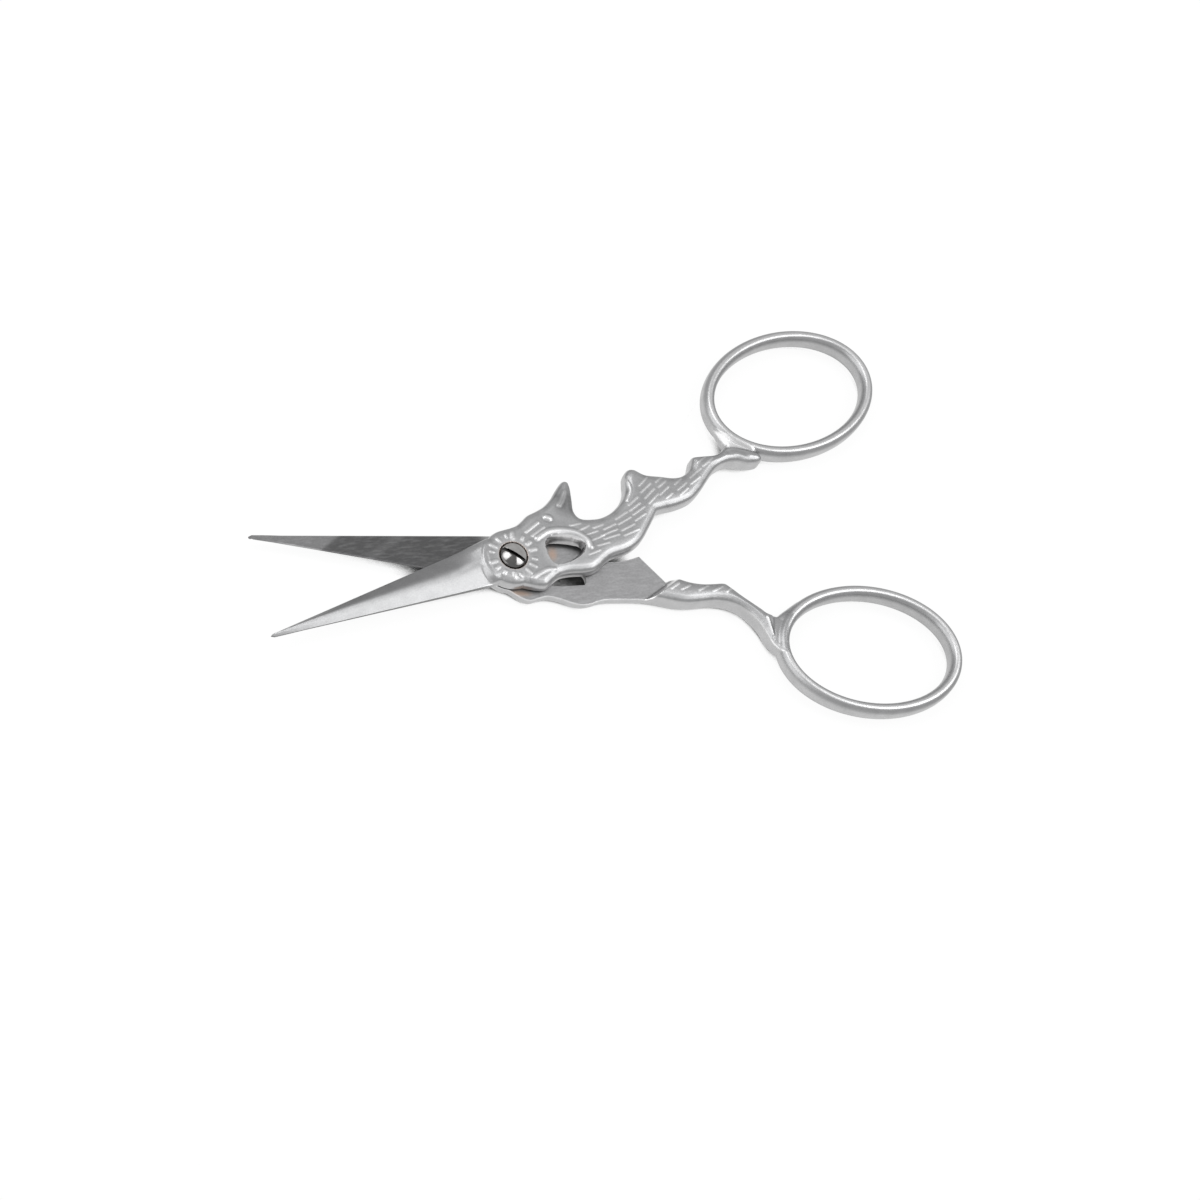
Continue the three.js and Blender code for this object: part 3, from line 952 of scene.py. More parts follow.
@dataclass
class SteelHalf:
    """One forged half: blade, collar, plate, shank and finger ring, as one piece of steel.

    It is drawn with its outer face up, and turned over at the end where that face looks down.

    Attributes:
        name: the piece's name.
        node: the CAD node that it replaces.
        body: the body that it rides on.
        slot: the name of its material slot; not used.
        face: which way its outer face looks.
        blade: its blade, with the collar round the pivot.
        ring: its finger ring.
        top: lines of the outline from the collar's top to the ring.
        base: lines of the outline from the ring back to the collar.
        step_line: ends of the step between plate and shank.
        window: places round the window at its narrowest.
        window_mouth: places round the window at the outer face.
        window_painted_light: how much paler the window's wall is painted, a painted light.
        thinning: how much shallower the shank is where it starts.
        bore_radius: radius of the hole for the screw.
        counterbore: whether the screw's head sits in this half.
        outer_relief: chasing on the outer face.
        inner_relief: chasing on the inner face.
        figure_top: the line along which the chased figure ends on the ring.
    """

    name: str
    node: str
    body: str
    slot: str
    face: Face
    blade: Blade
    ring: FingerRing
    top: list[np.ndarray]
    base: list[np.ndarray]
    step_line: Pairs
    window: Pairs
    window_mouth: Pairs
    window_painted_light: float
    thinning: float
    bore_radius: float
    counterbore: bool
    outer_relief: Relief
    inner_relief: Relief
    figure_top: np.ndarray

    def outline(self) -> np.ndarray:
        """The plan outline, clockwise: collar, blade, top, ring end and base."""
        return closed_loop(*self.blade.outline(), *self.top, *self.base)

    def figure(self) -> np.ndarray:
        """The outline of the chased figure, which ends on the ring in a paw or toe."""
        return closed_loop(*self.blade.outline(), *self.top[:-1], self.figure_top, *self.base)

    @staticmethod
    def rounding(distance: np.ndarray) -> np.ndarray:
        """How far a rounded edge falls at a distance inside the outline."""
        share = np.clip(1 - distance / EDGE_INSET, 0.0, 1.0)
        return EDGE_HEIGHT * (1 - np.sqrt(1 - share**2))

    def edge_drop(self, distance: np.ndarray) -> np.ndarray:
        """How far a face falls at a distance inside the outline: down a bevel, then a rounded edge."""
        bevel = BEVEL_SLOPE * soft_max(BEVEL_REACH - distance, 0 * distance, BEVEL_SOFT)
        return bevel + self.rounding(distance)

    def crowned(self, level: np.ndarray, distance: np.ndarray) -> np.ndarray:
        """A crowned face with bevelled and rounded edges, at distances inside its outline."""
        crown = CROWN * (1 - smoothstep(0.0, CROWN_REACH, distance))
        return level - crown - self.edge_drop(distance)

    def window_line(self) -> np.ndarray:
        """The window at its narrowest."""
        return smooth_line(self.window, closed=True)

    def mouth_line(self) -> np.ndarray:
        """The window at the outer face."""
        return smooth_line(self.window_mouth, closed=True)

    def body_height(self, places: np.ndarray, distance: np.ndarray, level: np.ndarray) -> np.ndarray:
        """A crowned face with rounded edges that ends in a paw or toe on the web of the ring.

        Args:
            places: plan places, in millimetres.
            distance: how far inside the outline each place is.
            level: the face's level at each place.

        Returns:
            Heights in millimetres.
        """
        whole = self.crowned(level, distance)
        end, within = self.within_figure(places)
        raised = self.crowned(level[end], within)
        raised += FIGURE_WALL_SLOPE * np.minimum(within, 0.0)
        off, bar = self.ring.section(places[end])
        web = WEB_LEVEL - WEB_FALL * np.maximum(-within, 0.0) - self.rounding(distance[end])
        web -= WEB_SLOPE * off
        web = soft_max(web, bar - RING_COVER, WEB_FILLET)
        whole[end] = soft_max(raised, web, FIGURE_FILLET)
        return whole

    def within_figure(self, places: np.ndarray) -> tuple[np.ndarray, np.ndarray]:
        """Which places lie by the figure's end.

        Args:
            places: plan places, in millimetres.

        Returns:
            Numbers of the places by the figure's end, and how far inside the figure each of those is.
        """
        figure = self.figure()
        end = np.flatnonzero(places[:, 0] > self.figure_top[:, 0].min() - FIGURE_END_MARGIN)
        side = np.where(inside(places[end], figure), 1, -1)
        return end, side * distance_to(places[end], figure)

    def window_share(self, places: np.ndarray) -> np.ndarray:
        """How far up the window's sloping wall places lie.

        Args:
            places: plan places, in millimetres.

        Returns:
            0 at the window's narrowest, 1 at its mouth and outside it.
        """
        throat = distance_to(places, self.window_line())
        mouth = self.mouth_line()
        share = throat / (throat + distance_to(places, mouth) + NO_GAP)
        return np.where(inside(places, mouth), share, 1.0)

    def outer_height(self, places: np.ndarray, distance: np.ndarray) -> tuple[np.ndarray, np.ndarray]:
        """Height and polish of the outer face.

        Args:
            places: plan places, in millimetres.
            distance: how far inside the outline each place is.

        Returns:
            Heights in millimetres, and polish from 0 to 1.
        """
        radius = np.hypot(*places.T)
        body = self.body_height(places, distance, np.full(len(places), FACE_LEVEL))
        flow = self.blade.collar_flow(places)
        height = self.blade.height(places) * (1 - flow) + body * flow
        raised, polish = self.outer_relief.measure(places)
        draft = self.window_share(places)
        foot = INNER_LEVEL + WINDOW_FOOT
        height = foot + (height - foot) * smoothstep(0.0, 1.0, draft)
        height += raised * np.clip(distance / EDGE_INSET, 0.0, 1.0) * draft
        if self.counterbore:
            chamfer = SEAT_CHAMFER * bump(radius - SEAT_RADIUS, SEAT_CHAMFER)
            height = np.where(radius < SEAT_RADIUS, SEAT_LEVEL, height - chamfer)
        # The window's sloping wall painted paler, a painted light
        polish = np.maximum(polish, self.window_painted_light * smoothstep(*DRAFT_SHEEN, draft))
        end, within = self.within_figure(places)
        # A painted highlight on the web
        polish[end] = np.maximum(polish[end], WEB_PAINTED_HIGHLIGHT * smoothstep(*WEB_HIGHLIGHT_FADE, within))
        return np.minimum(height, OUTER_LEVEL), np.maximum(polish, self.edge_sheen(places, distance))

    @staticmethod
    def edge_sheen(places: np.ndarray, distance: np.ndarray) -> np.ndarray:
        """How much paler the steep part of a rounded edge is painted, a painted reflection that a blade
        doesn't have.
        """
        steep = smoothstep(*STEEP_EDGE, distance)
        return WALL_PAINTED_SHEEN * steep * smoothstep(*WALL_FADE_X, places[:, 0])

    def step_distance(self, places: np.ndarray) -> np.ndarray:
        """Distance past the half's step, away from the pivot.

        Args:
            places: plan places, in millimetres.

        Returns:
            Millimetres, below 0 on the side of the pivot.
        """
        start, end = np.array(self.step_line)
        way = (end - start) / np.linalg.norm(end - start)
        away = np.array([way[1], -way[0]])
        away *= np.sign(away @ start)
        return (places - start) @ away - STEP_CLEARANCE

    def inner_height(self, places: np.ndarray, distance: np.ndarray) -> tuple[np.ndarray, np.ndarray]:
        """Height and polish of the inner face: flat, then up the step to the shank.

        Args:
            places: plan places, in millimetres.
            distance: how far inside the outline each place is.

        Returns:
            Heights in millimetres, and polish from 0 to 1.
        """
        past = smoothstep(0.0, STEP_RAMP, self.step_distance(places))
        thinner = self.thinning * (1 - smoothstep(SHANK_START_X, SHANK_FULL_X, places[:, 0]))
        shank = -self.body_height(places, distance, SHANK_LEVEL - thinner)
        raised, polish = self.inner_relief.measure(places)
        shank -= raised * np.clip(distance / EDGE_INSET, 0.0, 1.0)
        chamfer = INNER_CHAMFER * bump(distance, INNER_CHAMFER) * smoothstep(*CHAMFER_FADE_X, places[:, 0])
        edge = np.maximum(polish, self.edge_sheen(places, distance))
        # Rim of edge wear with a painted highlight, and a painted highlight on the step's ramp
        rim = RIM_WEAR_AND_HIGHLIGHT * bump(distance, RIM_REACH) * smoothstep(*RIM_FADE_X, places[:, 0])
        worn = np.clip(edge * past + rim * (1 - past) + STEP_PAINTED_HIGHLIGHT * past * (1 - past), 0.0, WEAR_AND_SHEEN_LIMIT)
        if self.counterbore:
            foot = distance_to(places, self.window_line())
            chamfer = np.maximum(chamfer, WINDOW_RELIEF * bump(foot, WINDOW_RELIEF_REACH))
        return INNER_LEVEL + chamfer * (1 - past) + (shank - INNER_LEVEL) * past, worn

    def plan(self) -> tuple[np.ndarray, np.ndarray, np.ndarray]:
        """The plan mesh.

        Returns:
            Places, triangles and each place's distance to the outline.
        """
        outline = self.outline()
        window = self.window_line()
        bore = closed_loop(circle(self.bore_radius, BORE_STEP))
        low, high = outline.min(axis=0), outline.max(axis=0)
        body = staggered_grid((BODY_START_X, low[1]), high, BODY_STEP)
        blade = staggered_grid(low, (BODY_START_X, high[1]), BLADE_STEP)
        grid = np.vstack([body, blade])
        grid = grid[inside(grid, outline) & ~inside(grid, window) & ~inside(grid, bore)]
        grid = grid[distance_to(grid, outline) > EDGE_INSET * GRID_MARGIN]
        grid = grid[~inside(grid, self.mouth_line())]
        insets = [inward(outline, share * EDGE_INSET) for share in INSET_SHARES]
        rounds = [circle(radius, SEAT_STEP) for radius in self.round_radii()]
        toe = [self.figure_top + offset for offset in TOE_OFFSETS]
        extra = np.vstack([grid, *insets, *rounds, *self.window_rows(), *toe])
        extra = extra[inside(extra, outline) & ~inside(extra, window) & ~inside(extra, bore)]
        loops = [outline[:-1], window[:-1], bore[:-1]]
        places, triangles = triangulated(loops, extra)
        middle = places[triangles].mean(axis=1)
        keep = inside(middle, outline) & ~inside(middle, window) & ~inside(middle, bore)
        return places, triangles[keep], distance_to(places, outline)

    def window_rows(self) -> list[np.ndarray]:
        """Rows of places up the window's sloping wall, from just above its foot to its mouth.

        Returns:
            One array of places for each row.
        """
        turn = np.linspace(0.0, 1.0, WINDOW_ROW_PLACES, endpoint=False)
        lines = (self.window_line(), self.mouth_line())
        foot, mouth = (line[(turn * len(line)).astype(int)] for line in lines)
        nearest = np.linalg.norm(mouth - foot[0], axis=1).argmin()
        mouth = np.roll(mouth, -nearest, axis=0)
        return [foot + share * (mouth - foot) for share in WINDOW_ROWS]

    def round_radii(self) -> list[float]:
        """Radii round the pivot that need a row of vertices of their own.

        Returns:
            Radii in millimetres.
        """
        if not self.counterbore:
            return [self.bore_radius + offset for offset in BORE_ROWS]
        return [SEAT_RADIUS + offset for offset in SEAT_ROWS]

    def paint(self, places: np.ndarray) -> tuple[np.ndarray, np.ndarray]:
        """Tone and stain of the inner face at each place."""
        return np.full(len(places), PLAIN_TONE), np.zeros(len(places))

    def darkening(self, places: np.ndarray) -> np.ndarray:
        """How much darker the outer face and the walls are at each place."""
        return np.zeros(len(places))

    def shell(self) -> SteelMesh:
        """The half without its ring.

        Returns:
            A mesh of the outer face, the inner face and the walls between them, each with its own paint.
        """
        places, triangles, distance = self.plan()
        outer, outer_polish = self.outer_height(places, distance)
        inner, inner_polish = self.inner_height(places, distance)
        tone, stain = self.paint(places)
        seat = np.hypot(*places.T) - SEAT_RADIUS
        seat_stain = SEAT_STAIN * bump(seat, SEAT_STAIN_REACH) * self.counterbore
        darkening = self.darkening(places)
        outer_tone = self.rubbed(outer, triangles, places, distance)
        outer_tone = outer_tone - self.blade.facet_shade(places) - darkening
        past = self.step_distance(places) > STEP_RAMP / 2
        inner_tone = np.where(past, self.rubbed(-inner, triangles, places, distance), tone)
        flip = self.face.value
        mesh = SteelMesh()
        outer_places = np.column_stack([places, flip * outer])
        inner_places = np.column_stack([places, flip * inner])
        first_outer = mesh.add_vertices(outer_places, outer_polish, outer_tone, seat_stain)
        first_inner = mesh.add_vertices(inner_places, inner_polish, inner_tone, stain)
        ordered = triangles[:, ::flip]
        mesh.add_faces(ordered + first_outer, Region.SATIN.value)
        flat = (np.abs(inner[triangles] - INNER_LEVEL) < GROUND_FLATNESS).all(axis=1)
        regions = np.where(flat, Region.GROUND.value, Region.SATIN.value)
        mesh.add_faces(ordered[:, ::-1] + first_inner, regions)
        a, b = rim_edges(triangles).T
        x = places[:, 0]
        # Walls painted paler away from the blade, a painted reflection
        wall = np.where(distance < OUTLINE_NEAR, WALL_PAINTED_SHEEN, 0.0) * smoothstep(*WALL_FADE_X, x)
        # Blade walls painted darker, a painted shade
        side_tone = PLAIN_TONE - BLADE_WALL_SHADE * smoothstep(*WALL_FADE_X[::-1], x) - darkening
        top = mesh.add_vertices(outer_places, wall, side_tone, 0 * stain)
        foot = mesh.add_vertices(inner_places, wall, side_tone, 0 * stain)
        walls = np.column_stack([a + top, a + foot, b + foot, b + top])
        mesh.add_faces(walls[:, ::flip], Region.SATIN.value)
        return mesh

    def build(self, finishes: list[bpy.types.Material]) -> bpy.types.Object:
        """Makes the half and puts it on its CAD body.

        Args:
            finishes: one material for each region.

        Returns:
            The half's object.
        """
        mesh = self.shell()
        self.ring.add_to(mesh)
        piece = mesh.to_object(self.name, self.ring.side * REST_TURN, finishes)
        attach(piece, self.body)
        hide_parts(self.node)
        return piece

    def rubbed(self, height: np.ndarray, triangles: np.ndarray, places: np.ndarray,
               distance: np.ndarray) -> np.ndarray:
        """Tone of a chased face: paler where it stands up, as rubbed steel is, and a painted shade in its
        hollows.

        Args:
            height: the face's heights.
            triangles: the plan mesh.
            places: plan places, in millimetres.
            distance: how far inside the outline each place is.

        Returns:
            Tones.
        """
        relief = np.zeros(len(height))
        mean = height
        links = np.vstack([triangles, triangles[:, [1, 2, 0]]])[:, :2]
        count = np.bincount(links.ravel(), minlength=len(height))
        for blur_round in range(1, max(RUB_ROUNDS) + 1):
            total = np.bincount(links[:, 0], mean[links[:, 1]], len(height))
            total += np.bincount(links[:, 1], mean[links[:, 0]], len(height))
            mean = (mean + total / np.maximum(count, 1)) / 2
            if blur_round in RUB_ROUNDS:
                relief += np.clip(RUB_GAIN * (height - mean), *RUB_RANGE)
        chased = smoothstep(*RUB_START_X, places[:, 0]) * smoothstep(0.0, RUB_EDGE, distance)
        end, within = self.within_figure(places)
        chased[end] *= smoothstep(*RUB_WEB_FADE, within)
        return PLAIN_TONE + relief * chased


@dataclass
class FrontHalf(SteelHalf):
    """The upper half, with the animal's head, ear and rump.

    Attributes:
        ear: where the ear is.
        ear_shade: how much darker it is.
    """

    ear: Patch = Patch((10.6, 5.0), (2.6, 3.2))
    ear_shade: float = 0.26

    def darkening(self, places: np.ndarray) -> np.ndarray:
        """A darker ear."""
        return self.ear_shade * self.ear.share(places)


@dataclass
class RearHalf(SteelHalf):
    """The lower half, whose ground inner face shows beside the front half.

    Attributes:
        ground_tone: tone of the ground inner face.
        blade_shade: how much darker it is painted on the blade, a painted reflection.
        blade_range: where along X that shade is full and where it ends.
        slant: how far along X the pale tip and the band lean, for each millimetre across the blade.
        slant_y: the side place at which their X is given.
        tip_pale: how much paler the tip is painted, part of that painted reflection.
        tip_range: where along X the pale tip starts and is full.
        band_pale: how much paler one slanted band is painted, part of that painted reflection.
        band_x: where along X that band is.
        band_reach: how far that band spreads.
        window_painted_shade: how much darker the window's wall is painted, a painted shade.
        window_shade_reach: how far that painted shade spreads from there.
        stains: dried oil on the inner face.
    """

    ground_tone: float = 0.45
    blade_shade: float = 0.32
    blade_range: Pair = (-4.5, -2.5)
    slant: float = 1.1
    slant_y: float = 1.2
    tip_pale: float = 0.14
    tip_range: Pair = (-23.9, -24.9)
    band_pale: float = 0.05
    band_x: float = -17.0
    band_reach: float = 1.4
    window_painted_shade: float = 0.36
    window_shade_reach: float = 0.8
    stains: tuple[Patch, ...] = (Patch((1.3, -4.5), (2.2, 0.7)), Patch((6.2, 1.8), (1.0, 1.6)))

    def paint(self, places: np.ndarray) -> tuple[np.ndarray, np.ndarray]:
        """A painted reflection on the ground blade, darker with a paler tip and one paler band, and oil
        stains by the collar.

        Args:
            places: plan places, in millimetres.

        Returns:
            Tone and stain of the inner face at each place.
        """
        x, y = places.T
        # Painted reflection on the blade: darker, paler towards the tip and in one slanted band
        blade = 1 - smoothstep(*self.blade_range, x)
        slanted = x - self.slant * (y - self.slant_y)
        pale = self.tip_pale * smoothstep(*self.tip_range, slanted)
        smear = self.band_pale * bump(slanted - self.band_x, self.band_reach)
        tone = self.ground_tone - blade * (self.blade_shade - pale - smear)
        return tone, sum(patch.share(places) for patch in self.stains)

    def darkening(self, places: np.ndarray) -> np.ndarray:
        """Painted shade inside the window."""
        return self.window_painted_shade * bump(distance_to(places, self.window_line()), self.window_shade_reach)


PETALS = petals(count=16, start=-4.0, low=2.7, high=3.3)
FUR = hairs(
    (9.6, 1.4, 11.2, 1.2), (10.4, 0.3, 12.2, 0.5), (12.6, 0.0, 14.2, 0.0), (11.2, -0.6, 13.0, -0.6),
    (11.6, -1.6, 13.6, -1.5), (12.0, -2.6, 13.8, -2.7), (10.2, -3.4, 12.0, -3.3),
    (13.9, -0.7, 15.9, -0.5), (13.2, -1.4, 15.8, -1.3), (13.3, -2.0, 15.7, -2.1),
    (16.3, 0.1, 18.4, 0.6), (16.3, -0.7, 18.5, -0.3), (16.3, -1.7, 18.5, -1.4),
    (16.3, -2.5, 18.8, -2.3), (19.1, 1.4, 20.9, 2.1), (18.8, 0.6, 20.8, 1.2), (19.0, -0.1, 21.2, 0.5),
    (18.9, -1.0, 20.8, -0.5),
)
RUMP_FUR = hairs(
    (21.9, 3.6, 23.7, 4.4), (21.7, 2.6, 23.7, 3.4), (21.8, 1.6, 23.8, 2.5), (22.0, 0.7, 24.0, 1.6),
    (24.5, 3.3, 25.6, 3.7), (24.5, 2.5, 26.0, 3.0), (24.2, 1.4, 26.0, 2.1), (24.8, 0.6, 26.0, 1.0),
    (27.0, 2.1, 28.4, 2.6), (27.0, 1.2, 28.8, 1.8), (27.0, 0.4, 28.6, 1.0), (29.7, 2.3, 31.9, 3.1),
    (29.3, 1.4, 31.2, 2.0), (31.8, 4.0, 33.6, 4.6), (32.3, 3.3, 34.4, 4.0),
)
FACE_AND_NECK: list[Stroke] = [
    Stroke(((3.2, 2.55), (5.55, 3.3)), 0.5, 0.05), Stroke(((3.8, 1.75), (6.0, 2.35)), 0.5, 0.04),
    Stroke(((6.95, 3.65), (7.35, 3.35)), 0.95, 0.13, 0.3),
    Stroke(((9.6, 4.7), (10.4, 5.3), (11.3, 6.2)), 0.85, 0.06, 0.16),
    Stroke(((4.3, 1.2), (5.5, 1.55), (6.5, 1.65), (8.0, 1.3), (9.6, 0.5), (10.6, -0.5), (11.1, -1.5),
            (11.0, -2.4)), 0.9, 0.1, 0.16),
    Stroke(((1.0, -4.0), (1.65, -3.7), (3.5, -3.4), (4.6, -3.75)), 0.75, 0.06, 0.06),
    Stroke(((-3.2, 1.6), (-3.5, 0.2), (-3.5, -1.3)), 0.4, 0.015, 0.08),
    Stroke(((20.6, 5.3), (20.65, 4.2), (20.3, 3.3), (19.3, 2.3)), 0.6, 0.1, 0.2),
    Stroke(((37.2, 4.1), (38.4, 3.9), (39.4, 3.1)), 1.3, -0.12, 0.0),
]
SHANK_FUR = hairs(
    (22.3, -2.95, 23.5, -2.05), (23.8, -2.95, 25.2, -2.2), (26.3, -2.9, 27.8, -2.1),
    (28.4, -2.85, 29.85, -2.1), (30.3, -2.85, 31.1, -2.3),
    width=0.4, height=0.04,
) + [Stroke(((36.0, -6.1), (36.5, -8.0), (36.7, -8.8)), 0.5, 0.14)]


def front_half() -> FrontHalf:
    """The upper half's sizes, with the animal's outline and chasing.

    Returns:
        The half, ready to build.
    """
    ring = FingerRing(side=1)
    back = smooth_line(HEAD_AND_EAR + BACK_AND_RUMP + FRONT_SHANK_TOP)
    return FrontHalf(
        name="front_half_steel", node="front_half", body="front", slot="front_steel",
        face=Face.UP, blade=Blade(edge=1), ring=ring,
        top=[back, ring.shank_end(FRONT_WEB, FRONT_RING_ANGLES)],
        figure_top=smooth_line(PAW_TOP),
        base=[smooth_line(PAW_AND_SHANK), smooth_line(FRONT_BELLY + CHEST)],
        step_line=PLATE_LINE, thinning=0.75, window=WINDOW, window_mouth=WINDOW_MOUTH,
        window_painted_light=0.9, bore_radius=BORE_RADIUS, counterbore=True,
        outer_relief=Relief(PETALS + FACE_AND_NECK + FUR + RUMP_FUR),
        inner_relief=Relief(RUMP_FUR),
    )


def rear_half() -> RearHalf:
    """The lower half's sizes, with the plate under the animal and the plain shank.

    Returns:
        The half, ready to build.
    """
    ring = FingerRing(side=-1)
    back = [smooth_line(REAR_BACK), smooth_line(REAR_SHANK_TOP)]
    return RearHalf(
        name="rear_half_steel", node="rear_half", body="rear", slot="rear_steel",
        face=Face.DOWN, blade=Blade(edge=-1), ring=ring,
        top=[*back, ring.shank_end(REAR_WEB, REAR_RING_ANGLES)],
        figure_top=smooth_line(REAR_TOE),
        base=[smooth_line(REAR_SHANK_BASE + CHEST)],
        step_line=BELLY_LINE, thinning=0.0, window=REAR_WINDOW, window_mouth=REAR_MOUTH,
        window_painted_light=0.0, bore_radius=BORE_RADIUS, counterbore=False,
        outer_relief=Relief(PETALS + FUR[3:14] + SHANK_FUR),
        inner_relief=Relief(SHANK_FUR),
    )


@dataclass
class PivotScrew:
    """The slotted screw: a domed head with a crisp slot, a shank and its end below.

    Attributes:
        radius: the head's radius.
        dome: rise of the head's dome.
        rim: height of the head below the dome.
        seat_gap: room between the head and its seat.
        rim_round: width of the rounded rim.
        rim_drop: how far that rim falls.
        slot_width: width of the slot.
        slot_depth: depth of the slot.
        slot_angle: direction of the slot, in degrees.
        slot_wall: where the slot's wall starts and ends, from its edge.
        slot_margin: how far from its edge the slot shapes the dome.
        slot_rows: rows of places along the slot, from its edge.
        slot_places: places in each row.
        spacing: of the head's mesh.
        rim_room: room left between the head's rim and the nearest place of the mesh.
        lower_dark_reflection: how much darker the half of the head below the slot is painted, a painted
            reflection.
        shade_blend: where across the slot that painted reflection starts and is full.
        slot_shade_tone: tone of the slot's floor, a painted shade.
        glint_spots: places with a painted glint.
        glint_reach: how far those painted glints spread.
        glint_brightness: how bright those painted glints are.
        shank_radius: the shank's radius.
        shank_start: how far above the seat the shank starts.
        shank_steps: facets round the shank.
        end_level: level of the shank's end.
        end_profile: how far in and up from its end the shank's corners are.
        end_radius: radius of the flat in the middle of its end.
        sharp_angle: edges bent more than this stay crisp, in degrees.
    """

    radius: float = 1.86
    dome: float = 0.42
    rim: float = 0.72
    seat_gap: float = 0.08
    rim_round: float = 0.22
    rim_drop: float = 0.18
    slot_width: float = 0.42
    slot_depth: float = 0.5
    slot_angle: float = -41.0
    slot_wall: Pair = (-0.02, 0.05)
    slot_margin: float = 0.06
    slot_rows: tuple[float, ...] = (0.0, -0.02, 0.015, 0.05)
    slot_places: int = 90
    spacing: float = 0.05
    rim_room: float = 0.03
    lower_dark_reflection: float = 0.34
    shade_blend: Pair = (0.1, -0.1)
    slot_shade_tone: float = 0.08
    glint_spots: tuple[Pair, ...] = ((-1.1, -0.05), (0.45, -1.0))
    glint_reach: float = 0.62
    glint_brightness: float = 0.8
    shank_radius: float = 1.2
    shank_start: float = 0.1
    shank_steps: int = 64
    end_level: float = -OUTER_LEVEL + 0.1
    end_profile: tuple[Pair, ...] = ((0.0, 0.2), (0.05, 0.08), (0.2, 0.02))
    end_radius: float = 0.02
    sharp_angle: float = 50.0

    def slot_axes(self) -> tuple[np.ndarray, np.ndarray]:
        """Directions along the slot and across it."""
        turn = math.radians(self.slot_angle)
        return np.array([math.cos(turn), math.sin(turn)]), np.array([-math.sin(turn), math.cos(turn)])

    def head_height(self, places: np.ndarray) -> np.ndarray:
        """The dome, its rounded rim and the slot.

        Args:
            places: plan places, in millimetres.

        Returns:
            The head's height at each place.
        """
        radius = np.hypot(*places.T)
        base = SEAT_LEVEL + self.seat_gap + self.rim
        dome = base + self.dome * (1 - (radius / self.radius) ** 2)
        dome -= self.rim_drop * np.clip((radius - self.radius + self.rim_round) / self.rim_round, 0, 1) ** 2
        across = np.abs(places @ self.slot_axes()[1])
        edge = self.slot_width / 2
        wall = smoothstep(edge + self.slot_wall[0], edge + self.slot_wall[1], across)
        floor = base + self.dome - self.slot_depth
        return np.where(across < edge + self.slot_margin, floor + (dome - floor) * wall, dome)

    def head_plan(self) -> tuple[np.ndarray, np.ndarray]:
        """The head's plan mesh.

        Returns:
            Places, with rows of them along the slot's edges, and triangles.
        """
        along, aside = self.slot_axes()
        rim = closed_loop(arc(self.radius, 359, 0, self.spacing))
        grid = staggered_grid((-self.radius, -self.radius), (self.radius, self.radius), self.spacing)
        steps = np.linspace(-self.radius, self.radius, self.slot_places)[:, None]
        rows = [sign * (self.slot_width / 2 + offset) for offset in self.slot_rows for sign in (-1, 1)]
        extra = np.vstack([grid, *(steps * along + row * aside for row in rows)])
        extra = extra[np.hypot(*extra.T) < self.radius - self.rim_room]
        return triangulated([rim[:-1]], extra)

    def build(self, finish: bpy.types.Material) -> bpy.types.Object:
        """Makes the screw and puts it on the rear body, where its thread holds it.

        Args:
            finish: the screw's material.

        Returns:
            The screw's object.
        """
        places, triangles = self.head_plan()
        height = self.head_height(places)
        seat = np.full(len(places), SEAT_LEVEL + self.seat_gap)
        blank = np.zeros(len(places))
        across = places @ self.slot_axes()[1]
        # The half of the head below the slot painted darker, a painted reflection
        tone = PLAIN_TONE - self.lower_dark_reflection * smoothstep(*self.shade_blend, across)
        # The slot's floor painted dark, a painted shade
        tone = np.where(np.abs(across) < self.slot_width / 2, self.slot_shade_tone, tone)
        # Painted glints on the dome
        shine = sum(bump(np.hypot(*(places - spot).T), self.glint_reach) for spot in self.glint_spots)
        mesh = SteelMesh()
        top = mesh.add_vertices(np.column_stack([places, height]), self.glint_brightness * shine, tone, blank)
        bottom = mesh.add_vertices(np.column_stack([places, seat]), blank, blank + PLAIN_TONE, blank)
        mesh.add_faces(triangles + top, 0)
        mesh.add_faces(triangles[:, ::-1] + bottom, 0)
        a, b = rim_edges(triangles).T
        mesh.add_faces(np.column_stack([a + top, a + bottom, b + bottom, b + top]), 0)
        self.add_shank(mesh)
        piece = mesh.to_object("pivot_screw_chrome", 0.0, [finish], self.sharp_angle)
        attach(piece, "rear")
        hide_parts("pivot_screw")
        return piece

    def add_shank(self, mesh: SteelMesh) -> None:
        """Adds a lathed shank down to a slightly domed end.

        Args:
            mesh: the screw's mesh.
        """
        corners = [(self.shank_radius - inset, self.end_level + rise) for inset, rise in self.end_profile]
        start = (self.shank_radius, SEAT_LEVEL + self.shank_start)
        profile = [start, *corners, (self.end_radius, self.end_level)]
        steps = self.shank_steps
        turn = 2 * np.pi * np.arange(steps) / steps
        x, y = np.cos(turn), np.sin(turn)
        rows = [np.column_stack([r * x, r * y, np.full(steps, z)]) for r, z in profile]
        blank = np.zeros(steps * len(rows))
        first = mesh.add_vertices(np.vstack(rows), blank, blank + PLAIN_TONE, blank)
        index = np.arange(steps)
        following = np.roll(index, -1)
        for row in range(len(rows) - 1):
            above, below = first + row * steps, first + (row + 1) * steps
            sides = [above + index, below + index, below + following, above + following]
            mesh.add_faces(np.column_stack(sides), 0)
        last = first + (len(rows) - 1) * steps
        mesh.add_faces((first + index)[None, :], 0)
        mesh.add_faces((last + index[::-1])[None, :], 0)


